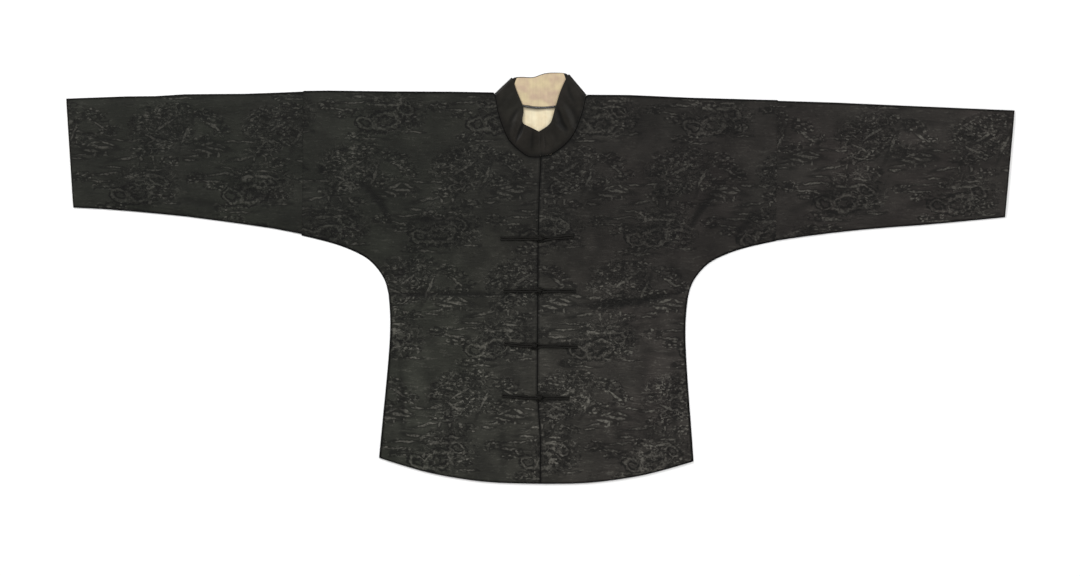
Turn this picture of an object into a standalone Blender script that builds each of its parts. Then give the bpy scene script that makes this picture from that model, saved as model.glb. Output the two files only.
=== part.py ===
"""Tang jacket of figured silk, laid flat on its back with the front upwards.

The jacket is the traditional flat cut: the body and the upper sleeves are one width of cloth,
the sleeves are lengthened with a separate tube, and a stand collar closes at the centre front.
+X is the wearer's left, +Y points to the collar, and the back rests on the plane z = 0.
Tables are in millimetres and the model is in metres.
"""

import math

import bmesh
import bpy
from mathutils import Vector

MM = 0.001

# Cloth and layers, in millimetres.
WALL = 1.2              # body cloth with its lining
COLLAR_WALL = 1.6       # stiffened collar
LINING_WALL = 1.0
SEAM_GAP = 0.3          # between two pieces that touch
LOFT = 1.6              # air between the front and the back layer
EDGE_LOFT = 0.6         # the same, at a closed edge
EDGE_REACH = 18.0       # the front sinks to the back over this distance from an edge

# Driving lines of the cut, in millimetres from the middle of the jacket.
JOIN_X = 400.0          # seam between body and sleeve tube: half a loom width
CHEST_Y = -29.0         # level where the side seam starts to curve into the sleeve
CHEST_X = 251.0
NECK_BACK_Y = 287.2     # middle of the back neck seam
NECK_SIDE_X = 78.6      # where the neck seam crosses the shoulder fold
NECK_SIDE_Y = 309.5
OPENING_GAP = 0.8       # between the two front edges
OPENING_REACH = 26.0    # a front follows the opening's waver this far in

# Grid of each cloth: distances out from the middle, and steps along.
NECK_COLUMNS = (0.0, 22.0, 45.0, 68.0, NECK_SIDE_X)
SHOULDER_COLUMNS = (79.2, 88.0, 104.0, 128.0, 152.0, 177.0, 202.0, 228.0, CHEST_X)
BACK_SHOULDER_COLUMNS = (150.0, 250.0, 357.0, JOIN_X)
UPPER_STEPS = 8         # from the chest level up to the shoulder
BODY_STEPS = 8          # from the hem up to the chest level
SLEEVE_STATIONS = 8     # from the join out to the cuff
SLEEVE_ACROSS = 7       # from the lower fold up to the shoulder fold
FOLD_ANGLES = (45, 0, -45)
WELD = 0.00002          # metres: points closer than this are one
SHARP_ANGLE = 50        # degrees

# Shoulder fold and top of the sleeve.  Columns: x, height on the left side, on the right side.
SHOULDER = (
    (78.6, 309.0, 311.0),
    (150.0, 309.3, 311.5),
    (250.0, 306.0, 310.8),
    (357.0, 304.2, 311.0),
    (400.0, 303.6, 310.0),
    (490.0, 302.0, 305.2),
    (594.0, 298.5, 303.4),
    (728.0, 294.2, 297.0),
    (800.0, 292.0, 293.5),
)

# Lower edge of the sleeve tube.  Columns: x, height on the left side, on the right side.
SLEEVE_UNDER = (
    (400.0, 67.5, 69.5),
    (456.0, 76.5, 79.9),
    (523.0, 85.5, 88.2),
    (591.0, 92.2, 96.5),
    (659.0, 97.8, 102.5),
    (726.0, 105.0, 107.6),
    (786.0, 111.5, 109.8),
)

# Underarm curve and side seam, from the sleeve join down to the hem corner.  Columns: x, y.
SIDE = (
    (400.0, 68.5),
    (356.0, 58.5),
    (322.0, 47.7),
    (293.0, 34.0),
    (277.0, 21.0),
    (264.0, 5.0),
    (255.5, -11.5),
    (251.0, -29.0),
    (248.0, -54.0),
    (247.3, -88.0),
    (248.5, -121.0),
    (253.0, -180.0),
    (259.3, -252.0),
    (263.8, -306.5),
)
UNDERARM_ROWS = 8       # the rows of SIDE down to the chest level
OUTLINE_STEPS = 2       # points on the rounded outline for each row of SIDE and HEM

# Hem, from the centre front to the corner.  Columns: x, y.
HEM = (
    (0.0, -346.8),
    (60.0, -346.0),
    (115.0, -341.5),
    (183.0, -330.0),
    (250.0, -311.0),
    (263.8, -306.5),
)

# Centre front opening.  Columns: y, x.
OPENING = (
    (-347.0, 7.0),
    (-300.0, 7.2),
    (-250.0, 6.0),
    (-206.0, 0.6),
    (-105.0, -0.2),
    (64.0, -1.3),
    (140.0, -0.4),
    (205.0, 2.2),
)

# Front of the stand collar, from its end at the centre front to the side fold, one table a side.
# Columns: seam x, seam y, top edge x, top edge y, height at the seam, height at the top edge.
COLLAR_LEFT = (
    (1.3, 206.0, -1.2, 247.5, 4.2, 6.2),
    (19.0, 209.0, 12.0, 256.0, 4.4, 7.0),
    (42.0, 225.5, 19.0, 264.5, 4.6, 7.4),
    (57.0, 245.0, 23.0, 279.5, 4.8, 7.2),
    (66.5, 268.0, 27.5, 296.0, 4.8, 6.6),
    (73.0, 291.0, 35.0, 320.0, 4.8, 6.0),
    (75.5, 305.5, 46.0, 343.0, 4.8, 5.2),
)
COLLAR_RIGHT = (
    (0.3, 204.8, -2.2, 247.0, 4.2, 6.2),
    (-18.0, 205.0, -17.0, 254.5, 4.4, 7.0),
    (-32.0, 213.5, -29.0, 260.0, 4.6, 7.4),
    (-52.0, 232.0, -30.0, 269.0, 4.8, 7.2),
    (-63.0, 256.0, -28.0, 286.0, 4.8, 6.6),
    (-71.5, 281.0, -38.0, 309.0, 4.8, 6.0),
    (-75.5, 306.5, -47.5, 336.0, 4.8, 5.2),
)

# Back of the stand collar, from the left fold to the right.  Columns: seam x, top x, top y.
COLLAR_BACK = (
    (68.0, 42.0, 346.6),
    (45.0, 27.0, 346.9),
    (22.0, 9.0, 346.6),
    (0.0, -3.0, 342.0),
    (-22.0, -14.0, 337.5),
    (-45.0, -28.0, 339.3),
    (-68.0, -43.5, 338.6),
)

# Largest soft folds of the front layer.
# Columns: start x, start y, end x, end y, half width, height (a trough is negative).
FOLDS = (
    (-246.0, -34.0, -140.0, -31.0, 9.0, -0.9),
    (-246.0, -20.0, -150.0, -12.0, 14.0, 0.7),
    (62.0, -42.0, 212.0, -40.0, 9.0, -0.9),
    (212.0, -40.0, 250.0, -22.0, 9.0, -0.7),
    (80.0, -24.0, 205.0, -20.0, 14.0, 0.8),
    (-236.0, 95.0, -121.0, 97.0, 10.0, -0.7),
    (-330.0, 150.0, -262.0, 62.0, 16.0, 0.8),
    (335.0, 150.0, 268.0, 55.0, 16.0, 0.8),
    (-215.0, -120.0, -205.0, -290.0, 15.0, 0.6),
    (205.0, -110.0, 218.0, -280.0, 15.0, 0.6),
    (-700.0, 190.0, -560.0, 205.0, 16.0, 0.7),
    (540.0, 205.0, 720.0, 182.0, 16.0, 0.7),
    (-520.0, 150.0, -440.0, 120.0, 14.0, -0.6),
    (430.0, 120.0, 530.0, 160.0, 14.0, -0.6),
)

# Collar band: steps between its rows, shares from its seam to its top edge, and its side folds.
COLLAR_STEPS = 2
COLLAR_SHARES = (0.0, 0.35, 0.7, 1.0)
COLLAR_TURN = (45, 90, 135, 180)
SEAM_BULGE = 0.5        # of a side fold's seam end, against its top end

# Linings that show inside the neck.
LINING_SHARES = (0.0, 0.5, 1.0)
LINING_INSET = 1.2      # the outer cloth shows as a fine line along the collar's top edge
LINING_END_OUT = 9.0    # the collar lining's last rows stand out and up along the seam
LINING_END_UP = 5.0
LINING_END_TOP = 3.0    # and this far in from the collar's top corners
LINING_END_DROP = 1.0
BACK_LINING_X = (52.0, 34.0, 17.0, 0.0, -17.0, -34.0, -52.0)
BACK_LINING_LOW_Y = 222.0
BACK_LINING_TAPER = 0.8
BACK_LINING_CURVE = 0.004

# Frog fastenings, from the collar down.
# Columns: y at the knot, end x on the right front, its y, end x on the left front, its y, knot x.
FROGS = (
    (66.5, -64.0, 66.0, 58.5, 71.0, 3.0),
    (-21.5, -58.0, -22.5, 62.5, -21.3, 1.5),
    (-114.5, -56.0, -111.5, 66.5, -114.8, -5.0),
    (-202.0, -58.5, -199.0, 54.5, -201.6, 4.5),
)
CORD_RADIUS = 1.6       # one strand of the doubled cord
STRAND_SIDE = 1.75      # from the middle of a bar to the middle of a strand
KNOT_RADIUS = 4.5
EYE_RADIUS = 5.8        # loop round the knot, to the middle of its strand
NECK_LENGTH = 9.5       # from the knot back to where its two strands lie down
FROG_CLEARANCE = 0.45   # under a cord, above the cloth
BAR_SHARES = (0.0, 0.25, 0.5, 0.75, 1.0)
LOOP_MOUTH = 5.0        # from the eye to where the loop's strands lie side by side
EYE_ANGLES = range(45, 316, 30)
RISE_OUT = 4.6          # outside the eye, where the knot's strands leave the cloth
RISE_UP = 1.7
OVER_HALF = 1.5         # half the length over the eye's strand
STRAND_END_OUT = 1.2    # from the knot's middle
STRAND_END_UP = 0.6
STRAND_END_SIDE = 0.8   # share of STRAND_SIDE left at the knot
KNOT_SEGMENTS = 12
KNOT_RINGS = 8

# Materials.  Columns: colour, roughness, metallic.
MATERIALS = {
    "figured_silk": ((0.024, 0.024, 0.022, 1.0), 0.55, 0.0),
    "collar_satin": ((0.018, 0.018, 0.016, 1.0), 0.40, 0.0),
    "cream_lining": ((0.72, 0.58, 0.40, 1.0), 0.65, 0.0),
    "frog_cord": ((0.010, 0.010, 0.009, 1.0), 0.50, 0.0),
}


def clear_scene():
    for old in list(bpy.data.objects):
        bpy.data.objects.remove(old, do_unlink=True)


def new_collection(name):
    collection = bpy.data.collections.new(name)
    bpy.context.scene.collection.children.link(collection)
    return collection


def make_material(name):
    colour, roughness, metallic = MATERIALS[name]
    material = bpy.data.materials.new(name)
    material.use_nodes = True
    shader = material.node_tree.nodes["Principled BSDF"]
    shader.inputs["Base Color"].default_value = colour
    shader.inputs["Roughness"].default_value = roughness
    shader.inputs["Metallic"].default_value = metallic
    material.diffuse_color = colour
    return material


def interpolate(table, key, column=1):
    """Value of a table's column at a key, straight between rows whose first column rises."""
    rows = sorted(table)
    if key <= rows[0][0]:
        return rows[0][column]
    for low, high in zip(rows, rows[1:]):
        if key <= high[0]:
            share = (key - low[0]) / (high[0] - low[0])
            return low[column] + share * (high[column] - low[column])
    return rows[-1][column]


def smooth_rows(rows, steps):
    """Rows on a Catmull-Rom curve through the given ones, steps to each interval."""
    padded = [rows[0], *rows, rows[-1]]
    result = []
    for i in range(1, len(padded) - 2):
        for k in range(steps):
            t = k / steps
            result.append(tuple(
                0.5 * (2 * b + (c - a) * t + (2 * a - 5 * b + 4 * c - d) * t * t
                       + (3 * b - a - 3 * c + d) * t ** 3)
                for a, b, c, d in zip(*padded[i - 1:i + 3])))
    result.append(tuple(rows[-1]))
    return result


def smooth_step(value):
    value = min(max(value, 0.0), 1.0)
    return value * value * (3 - 2 * value)


def segment_distance(x, y, x0, y0, x1, y1):
    start = Vector((x0, y0))
    along = Vector((x1, y1)) - start
    point = Vector((x, y)) - start
    share = min(max(point.dot(along) / along.length_squared, 0.0), 1.0)
    return (point - along * share).length


def side_column(side):
    """Column of a left and right table that belongs to one side of the jacket."""
    return 1 if side > 0 else 2


def shoulder_y(x, side):
    return interpolate(SHOULDER, x, side_column(side))


def neck_back_y(x):
    return NECK_BACK_Y + (NECK_SIDE_Y - NECK_BACK_Y) * (x / NECK_SIDE_X) ** 2


def closed_edges(side):
    """Lines where the front is joined to the back: shoulder, underarm, side and hem."""
    column = side_column(side)
    top = [(row[0], row[column]) for row in SHOULDER]
    under = [(row[0], row[column]) for row in reversed(SLEEVE_UNDER)]
    return [top, under + list(SIDE[1:]), list(reversed(HEM))]


CLOSED_EDGES = {side: closed_edges(side) for side in (1, -1)}
UNDERARM = smooth_rows(SIDE[:UNDERARM_ROWS], OUTLINE_STEPS)
SIDE_SEAM = smooth_rows(SIDE[UNDERARM_ROWS - 1:], OUTLINE_STEPS)
HEM_LINE = smooth_rows(HEM[:-1], OUTLINE_STEPS) + [HEM[-1]]


def edge_share(x, y, side):
    """0 on a closed edge, 1 at EDGE_REACH or more away from it."""
    nearest = min(
        segment_distance(abs(x), y, *start, *end)
        for line in CLOSED_EDGES[side] for start, end in zip(line, line[1:]))
    return smooth_step(nearest / EDGE_REACH)


def front_height(x, y, side):
    """Height of the upper face of the front layer."""
    relief = sum(
        height * math.exp(-(segment_distance(x, y, x0, y0, x1, y1) / width) ** 2)
        for x0, y0, x1, y1, width, height in FOLDS)
    share = edge_share(x, y, side)
    return 2 * WALL + EDGE_LOFT + share * (LOFT - EDGE_LOFT + relief)


def mesh_object(name, vertices, faces, material, collection):
    mesh = bpy.data.meshes.new(name)
    mesh.from_pydata([tuple(c * MM for c in v) for v in vertices], [], faces)
    shape = bmesh.new()
    shape.from_mesh(mesh)
    bmesh.ops.remove_doubles(shape, verts=shape.verts, dist=WELD)
    bmesh.ops.recalc_face_normals(shape, faces=shape.faces)
    shape.to_mesh(mesh)
    shape.free()
    mesh.materials.append(material)
    piece = bpy.data.objects.new(name, mesh)
    collection.objects.link(piece)
    return piece


def face_upwards(piece):
    """Turn an open sheet whose faces look down."""
    mesh = piece.data
    if sum(face.normal.z * face.area for face in mesh.polygons) < 0:
        mesh.flip_normals()


def add_wall(piece, thickness):
    """Give an open sheet its thickness, below or inside the modelled face."""
    wall = piece.modifiers.new("wall", "SOLIDIFY")
    wall.thickness = thickness * MM
    wall.offset = -1.0
    wall.use_even_offset = True
    piece.data.shade_smooth()
    piece.data.set_sharp_from_angle(angle=math.radians(SHARP_ANGLE))


def grid_faces(rows, columns, start=0, closed=False):
    """Quads of a grid stored row by row; closed joins the last column to the first."""
    last = columns if closed else columns - 1
    faces = []
    for r in range(rows - 1):
        for c in range(last):
            a = start + r * columns + c
            b = start + r * columns + (c + 1) % columns
            faces.append((a, b, b + columns, a + columns))
    return faces


def collar_front(side):
    """Rounded rows of the collar's front on one side."""
    return smooth_rows(COLLAR_LEFT if side > 0 else COLLAR_RIGHT, COLLAR_STEPS)


def neck_edge(side):
    """Front neck edge of one side, just outside the collar seam."""
    seam = [Vector(row[:2]) for row in collar_front(side)]
    edge = []
    for i, point in enumerate(seam):
        along = seam[min(i + 1, len(seam) - 1)] - seam[max(i - 1, 0)]
        outward = Vector((along.y, -along.x)).normalized() * side
        edge.append(point + outward * 2 * SEAM_GAP)
    edge[0].x = interpolate(OPENING, edge[0].y) + side * OPENING_GAP / 2
    return [(abs(point.x) if i else 0.0, point.y) for i, point in enumerate(edge)]


def front_point(x, y, side):
    """Point of the upper face, drawn towards the opening line near the centre front."""
    share = max(1.0 - x / OPENING_REACH, 0.0)
    opening = interpolate(OPENING, y) + side * OPENING_GAP / 2
    px = side * x + opening * share
    return (px, y, front_height(px, y, side))


def make_front(name, side, material, collection):
    """Half front with the upper sleeve cut in one, from the opening to the sleeve join."""
    neck = neck_edge(side)
    tops = neck + [(x, shoulder_y(x, side) - SEAM_GAP) for x in SHOULDER_COLUMNS]
    inner_count = len(tops)
    bottoms = [CHEST_Y] * inner_count
    for x, y in reversed(UNDERARM[:-1]):
        tops.append((x, shoulder_y(x, side) - SEAM_GAP))
        bottoms.append(y)
    vertices = []
    for step in range(UPPER_STEPS + 1):
        share = step / UPPER_STEPS
        for (x, top), bottom in zip(tops, bottoms):
            vertices.append(front_point(x, bottom + share * (top - bottom), side))
    faces = grid_faces(UPPER_STEPS + 1, len(tops))
    start = len(vertices)
    for step in range(BODY_STEPS + 1):
        share = step / BODY_STEPS
        for x, _ in tops[:inner_count]:
            hem = interpolate(HEM_LINE, x / CHEST_X * HEM[-1][0])
            y = hem + share * (CHEST_Y - hem)
            side_x = interpolate([(row[1], row[0]) for row in SIDE_SEAM], y)
            vertices.append(front_point(x / CHEST_X * side_x, y, side))
    faces += grid_faces(BODY_STEPS + 1, inner_count, start)
    piece = mesh_object(name, vertices, faces, material, collection)
    face_upwards(piece)
    add_wall(piece, WALL)
    return piece


def make_sleeve(name, side, material, collection):
    """Sleeve tube from the join to the slanting open cuff, its underside flat."""
    column = side_column(side)
    radius = WALL + EDGE_LOFT / 2
    vertices = []
    for station in range(SLEEVE_STATIONS + 1):
        share = station / SLEEVE_STATIONS
        low_x = JOIN_X + SEAM_GAP + share * (SLEEVE_UNDER[-1][0] - JOIN_X - SEAM_GAP)
        high_x = JOIN_X + SEAM_GAP + share * (SHOULDER[-1][0] - JOIN_X - SEAM_GAP)
        low = Vector((low_x, interpolate(SLEEVE_UNDER, low_x, column)))
        high = Vector((high_x, interpolate(SHOULDER, high_x, column)))
        up = (high - low).normalized()
        inner_low = low + up * radius
        inner_high = high - up * radius
        ring = []
        for k in range(SLEEVE_ACROSS + 1):
            point = inner_low.lerp(inner_high, k / SLEEVE_ACROSS)
            at_fold = k in (0, SLEEVE_ACROSS)
            height = 2 * radius if at_fold else front_height(side * point.x, point.y, side)
            ring.append((point.x, point.y, height))
        ring += [fold_point(inner_high, up, radius, angle) for angle in FOLD_ANGLES]
        for k in range(SLEEVE_ACROSS, -1, -1):
            point = inner_low.lerp(inner_high, k / SLEEVE_ACROSS)
            ring.append((point.x, point.y, 0.0))
        ring += [fold_point(inner_low, -up, radius, -angle) for angle in FOLD_ANGLES]
        vertices += [(side * x, y, z) for x, y, z in ring]
    faces = grid_faces(SLEEVE_STATIONS + 1, len(ring), closed=True)
    piece = mesh_object(name, vertices, faces, material, collection)
    turn_outwards(piece)
    add_wall(piece, WALL)
    return piece


def fold_point(centre, outward, radius, angle):
    """Point on the half round where a layer folds back under itself."""
    flat = centre + outward * radius * math.cos(math.radians(angle))
    return (flat.x, flat.y, radius + radius * math.sin(math.radians(angle)))


def turn_outwards(piece):
    """Make an open tube's faces look away from its inside: its highest face looks up."""
    highest = max(piece.data.polygons, key=lambda face: face.center.z)
    if highest.normal.z < 0:
        piece.data.flip_normals()


def make_back(name, material, collection):
    """Back with the upper sleeves cut in one: a flat sheet that rests on the ground."""
    outline = []
    for side in (1, -1):
        half = [(x, neck_back_y(x) - SEAM_GAP) for x in NECK_COLUMNS]
        half += [(x, shoulder_y(x, side)) for x in BACK_SHOULDER_COLUMNS]
        half += UNDERARM + SIDE_SEAM[1:] + list(reversed(HEM_LINE))[1:]
        half = [(side * x, y) for x, y in half]
        outline += half if side > 0 else list(reversed(half))[1:-1]
    curve = bpy.data.curves.new(name, "CURVE")
    curve.dimensions = "2D"
    curve.fill_mode = "BOTH"
    curve.extrude = WALL / 2 * MM
    spline = curve.splines.new("POLY")
    spline.points.add(len(outline) - 1)
    for point, (x, y) in zip(spline.points, outline):
        point.co = (x * MM, y * MM, 0.0, 1.0)
    spline.use_cyclic_u = True
    curve.materials.append(material)
    piece = bpy.data.objects.new(name, curve)
    piece.location.z = WALL / 2 * MM
    collection.objects.link(piece)
    return piece


def collar_rows():
    """Outer face of the collar band from its left end round the back to its right end."""
    left = collar_front(1)
    right = collar_front(-1)
    back = [(x, neck_back_y(x) + 2 * SEAM_GAP, top_x, top_y, 0.0, 0.0)
            for x, top_x, top_y in COLLAR_BACK]
    rows = left + turn_rows(left[-1], 1) + back
    rows += list(reversed(right + turn_rows(right[-1], -1)))
    return rows


def turn_rows(fold, side):
    """Rows of the half round by which the band turns from the front to the back."""
    seam_x, seam_y, top_x, top_y, seam_z, top_z = fold
    along = Vector((top_x - seam_x, top_y - seam_y)).normalized()
    outward = Vector((along.y, -along.x)) * side
    clear_y = neck_back_y(seam_x) + COLLAR_WALL
    rows = []
    for angle in COLLAR_TURN:
        out = math.sin(math.radians(angle)) / 2
        down = (1 + math.cos(math.radians(angle))) / 2
        lift = min(angle / 90, 1.0) * (clear_y - seam_y)
        rows.append((seam_x + outward.x * out * seam_z,
                     seam_y + outward.y * out * seam_z * SEAM_BULGE + lift,
                     top_x + outward.x * out * top_z, top_y + outward.y * out * top_z,
                     seam_z * down, top_z * down))
    return rows


def make_collar(name, material, collection):
    """Stand collar: one stiff band that lies folded at both sides of the neck."""
    rows = collar_rows()
    vertices = []
    for seam_x, seam_y, top_x, top_y, seam_z, top_z in rows:
        for share in COLLAR_SHARES:
            vertices.append((seam_x + share * (top_x - seam_x),
                             seam_y + share * (top_y - seam_y),
                             seam_z + share * (top_z - seam_z)))
    faces = grid_faces(len(rows), len(COLLAR_SHARES))
    piece = mesh_object(name, vertices, faces, material, collection)
    turn_outwards(piece)
    add_wall(piece, COLLAR_WALL)
    return piece


def make_sheet(name, rows, bottom, thickness, material, collection):
    """Flat lining sheet between two lines, given as rows of low x, low y, high x, high y."""
    top = bottom + thickness
    vertices = []
    for low_x, low_y, high_x, high_y in rows:
        for share in LINING_SHARES:
            vertices.append((low_x + share * (high_x - low_x),
                             low_y + share * (high_y - low_y), top))
    faces = grid_faces(len(rows), len(LINING_SHARES))
    piece = mesh_object(name, vertices, faces, material, collection)
    face_upwards(piece)
    add_wall(piece, thickness)
    return piece


def make_collar_lining(name, material, collection):
    """Lining of the collar's inner face, as far as the neck opening shows it."""
    rows = []
    for seam_x, top_x, top_y in COLLAR_BACK[1:-1]:
        rows.append((seam_x, neck_back_y(seam_x) + 2 * SEAM_GAP, top_x, top_y - LINING_INSET))
    seam_x, seam_y, _, left_y = rows[0]
    left_x = COLLAR_BACK[0][1] - LINING_END_TOP
    left_end = (seam_x + LINING_END_OUT, seam_y + LINING_END_UP, left_x, left_y)
    seam_x, seam_y, _, right_y = rows[-1]
    right_x = COLLAR_BACK[-1][1] + LINING_END_TOP
    right_end = (seam_x - LINING_END_OUT, seam_y + LINING_END_UP, right_x,
                 right_y - LINING_END_DROP)
    rows = [left_end, *rows, right_end]
    bottom = COLLAR_WALL + SEAM_GAP
    return make_sheet(name, rows, bottom, LINING_WALL, material, collection)


def make_back_lining(name, material, collection):
    """Lining of the back below its neck seam, as far as the neck opening shows it."""
    rows = []
    for x in BACK_LINING_X:
        low_y = BACK_LINING_LOW_Y + BACK_LINING_CURVE * x * x
        rows.append((x * BACK_LINING_TAPER, low_y, x, neck_back_y(x) - SEAM_GAP))
    bottom = WALL + SEAM_GAP
    return make_sheet(name, rows, bottom, LINING_WALL, material, collection)


def cord_object(name, points, material, collection):
    """Round cord along points, eight-sided and closed at both ends."""
    curve = bpy.data.curves.new(name, "CURVE")
    curve.dimensions = "3D"
    curve.bevel_depth = CORD_RADIUS * MM
    curve.bevel_resolution = 2
    curve.use_fill_caps = True
    spline = curve.splines.new("POLY")
    spline.points.add(len(points) - 1)
    for point, place in zip(spline.points, points):
        point.co = (*(c * MM for c in place), 1.0)
    curve.materials.append(material)
    piece = bpy.data.objects.new(name, curve)
    collection.objects.link(piece)
    return piece


def cord_as_mesh(piece, collection):
    """Mesh object with the welded shape of a cord, in the cord's place."""
    bpy.context.view_layer.update()
    graph = bpy.context.evaluated_depsgraph_get()
    mesh = bpy.data.meshes.new_from_object(piece.evaluated_get(graph))
    shape = bmesh.new()
    shape.from_mesh(mesh)
    bmesh.ops.remove_doubles(shape, verts=shape.verts, dist=WELD)
    shape.to_mesh(mesh)
    shape.free()
    solid = bpy.data.objects.new(piece.name + "_mesh", mesh)
    solid.matrix_world = piece.matrix_world
    collection.objects.link(solid)
    bpy.data.objects.remove(piece, do_unlink=True)
    return solid


def resting_height(x, y):
    """Height of the middle of a cord that lies on the front."""
    side = 1 if x > interpolate(OPENING, y) else -1
    return front_height(x, y, side) + FROG_CLEARANCE + CORD_RADIUS


def bar_points(end_x, end_y, near_x, near_y, offset):
    """Points of one strand of a bar, from its sewn end towards the knot."""
    along = Vector((near_x - end_x, near_y - end_y))
    across = Vector((-along.y, along.x)).normalized() * offset
    points = []
    for share in BAR_SHARES:
        x = end_x + share * along.x + across.x
        y = end_y + share * along.y + across.y
        points.append((x, y, resting_height(x, y)))
    return points


def make_loop(name, frog, material, collection):
    """Loop half of a frog: one cord out along the bar, round the knot and back."""
    knot_y, _, _, end_x, end_y, knot_x = frog
    base = resting_height(knot_x, knot_y)
    near_x = knot_x + EYE_RADIUS + LOOP_MOUTH
    points = bar_points(end_x, end_y, near_x, knot_y, -STRAND_SIDE)
    for angle in EYE_ANGLES:
        turn = math.radians(angle)
        points.append((knot_x + EYE_RADIUS * math.cos(turn),
                       knot_y + EYE_RADIUS * math.sin(turn), base))
    points += reversed(bar_points(end_x, end_y, near_x, knot_y, STRAND_SIDE))
    return cord_object(name, points, material, collection)


def make_knot(name, frog, material, collection, cutters):
    """Knot half of a frog: two strands that rise over the loop and end in the knot."""
    knot_y, end_x, end_y, _, _, knot_x = frog
    base = resting_height(knot_x, knot_y)
    knot_z = base - CORD_RADIUS + KNOT_RADIUS
    strands = []
    for offset in (-STRAND_SIDE, STRAND_SIDE):
        near_x = knot_x - EYE_RADIUS - NECK_LENGTH
        points = bar_points(end_x, end_y, near_x, knot_y, offset)
        over = base + 2 * CORD_RADIUS + FROG_CLEARANCE
        eye_x = knot_x - EYE_RADIUS
        points.append((eye_x - RISE_OUT, knot_y + offset, base + RISE_UP))
        points.append((eye_x - OVER_HALF, knot_y + offset, over))
        points.append((eye_x + OVER_HALF, knot_y + offset, over))
        points.append((knot_x - STRAND_END_OUT, knot_y + offset * STRAND_END_SIDE,
                       knot_z + STRAND_END_UP))
        strand = cord_object(name + "_strand", points, material, cutters)
        strands.append(cord_as_mesh(strand, cutters))
    mesh = bpy.data.meshes.new(name)
    ball = bmesh.new()
    bmesh.ops.create_uvsphere(
        ball, u_segments=KNOT_SEGMENTS, v_segments=KNOT_RINGS, radius=KNOT_RADIUS * MM)
    ball.to_mesh(mesh)
    ball.free()
    mesh.materials.append(material)
    mesh.shade_smooth()
    piece = bpy.data.objects.new(name, mesh)
    piece.location = (knot_x * MM, knot_y * MM, knot_z * MM)
    collection.objects.link(piece)
    for strand in strands:
        strand.hide_render = True
        strand.display_type = "WIRE"
        union = piece.modifiers.new("strand", "BOOLEAN")
        union.operation = "UNION"
        union.object = strand
    return piece


def main():
    clear_scene()
    jacket = new_collection("tang_jacket")
    cutters = new_collection("frog_strands")
    silk = make_material("figured_silk")
    satin = make_material("collar_satin")
    cream = make_material("cream_lining")
    cord = make_material("frog_cord")
    make_back("back", silk, jacket)
    make_front("front_left", 1, silk, jacket)
    make_front("front_right", -1, silk, jacket)
    make_sleeve("sleeve_left", 1, silk, jacket)
    make_sleeve("sleeve_right", -1, silk, jacket)
    make_collar("collar", satin, jacket)
    make_collar_lining("collar_lining", cream, jacket)
    make_back_lining("back_lining", cream, jacket)
    for number, frog in enumerate(FROGS, start=1):
        make_knot(f"frog_{number}_knot", frog, cord, jacket, cutters)
        make_loop(f"frog_{number}_loop", frog, cord, jacket)


main()
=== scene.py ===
"""Tang jacket of figured silk, laid flat with the front upwards: its cloth, cords and finish.

The body and the upper sleeves are one width of damask, each sleeve is lengthened by a tube of the
same cloth, and a plain satin stand collar closes at the centre front with four frogs below it.
+X is the wearer's left, +Y points to the collar, and the back rests on the plane z = 0.
Tables are in millimetres and everything built is in metres.
"""

import math
import random

import bmesh
import bpy
import numpy as np
from bpy.props import FloatProperty, FloatVectorProperty, PointerProperty
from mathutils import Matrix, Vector, kdtree


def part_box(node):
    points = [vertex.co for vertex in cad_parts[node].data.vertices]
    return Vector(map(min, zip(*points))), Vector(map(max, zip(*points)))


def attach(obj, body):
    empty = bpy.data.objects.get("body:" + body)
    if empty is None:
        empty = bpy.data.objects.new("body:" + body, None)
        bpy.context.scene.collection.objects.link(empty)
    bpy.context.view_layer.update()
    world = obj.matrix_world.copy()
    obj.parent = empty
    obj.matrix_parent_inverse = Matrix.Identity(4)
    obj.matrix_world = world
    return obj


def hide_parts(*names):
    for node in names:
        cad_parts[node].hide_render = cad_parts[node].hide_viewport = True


bl_info = {
    "name": "Tang jacket",
    "version": (1, 0, 0),
    "blender": (4, 5, 0),
    "location": "3D View > Sidebar > Jacket",
    "description": "Builds a flat-laid tang jacket of figured silk around its packed frame",
    "category": "Object",
}

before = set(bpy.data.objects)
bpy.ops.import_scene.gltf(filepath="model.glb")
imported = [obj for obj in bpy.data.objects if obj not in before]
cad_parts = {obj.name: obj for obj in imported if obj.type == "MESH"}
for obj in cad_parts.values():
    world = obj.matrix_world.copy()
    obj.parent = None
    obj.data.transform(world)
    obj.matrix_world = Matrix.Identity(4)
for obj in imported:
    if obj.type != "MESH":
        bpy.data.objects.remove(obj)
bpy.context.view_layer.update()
MM = 0.001

# ---------------------------------------------------------------- cut and folds, in millimetres

SLEEVE_JOIN = (400.0, 303.5, 68.5)      # out from the middle, top, bottom
NECK_SIDE = (79.2, 309.0)
HEM_CORNER = (263.8, -306.5)
MIDDLE_HEM = (7.0, -347.0)
MIDDLE_NECK = (1.0, 205.0)
BACK_NECK_Y = 287.0
CHEST_Y = -29.0             # level where the side seam starts to curve into the sleeve
NECK_LOW_Y = 203.0
OPENING_HALF_WIDTH = 14.0
OPENING_REACH = 26.0        # a front follows the opening's waver this far in
SLEEVE_MIDDLE_Y = 190.0
SLEEVE_MIDDLE_Z = 1.5
EDGE_HEIGHT = 3.0           # upper face at a closed edge
FRONT_HEIGHT = 4.0          # and away from it
BODY_ROWS = 80
UPPER_ROWS = 84
SLEEVE_STATIONS = 112
SLEEVE_ACROSS = 60
SLEEVE_UNDERSIDE = 30
FOLD_ANGLES = (60, 30, 0, -30, -60)
FOLD_SPACING = 3            # points of a fold line closer than this are one
EDGE_REACH = 18.0           # a sheet sinks to a closed edge over this distance
HEM_REACH = 12.0
NECK_REACH = 8.0
BACK_REACH = 20.0
CUFF_X, CUFF_REACH = 768.0, 20.0
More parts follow.
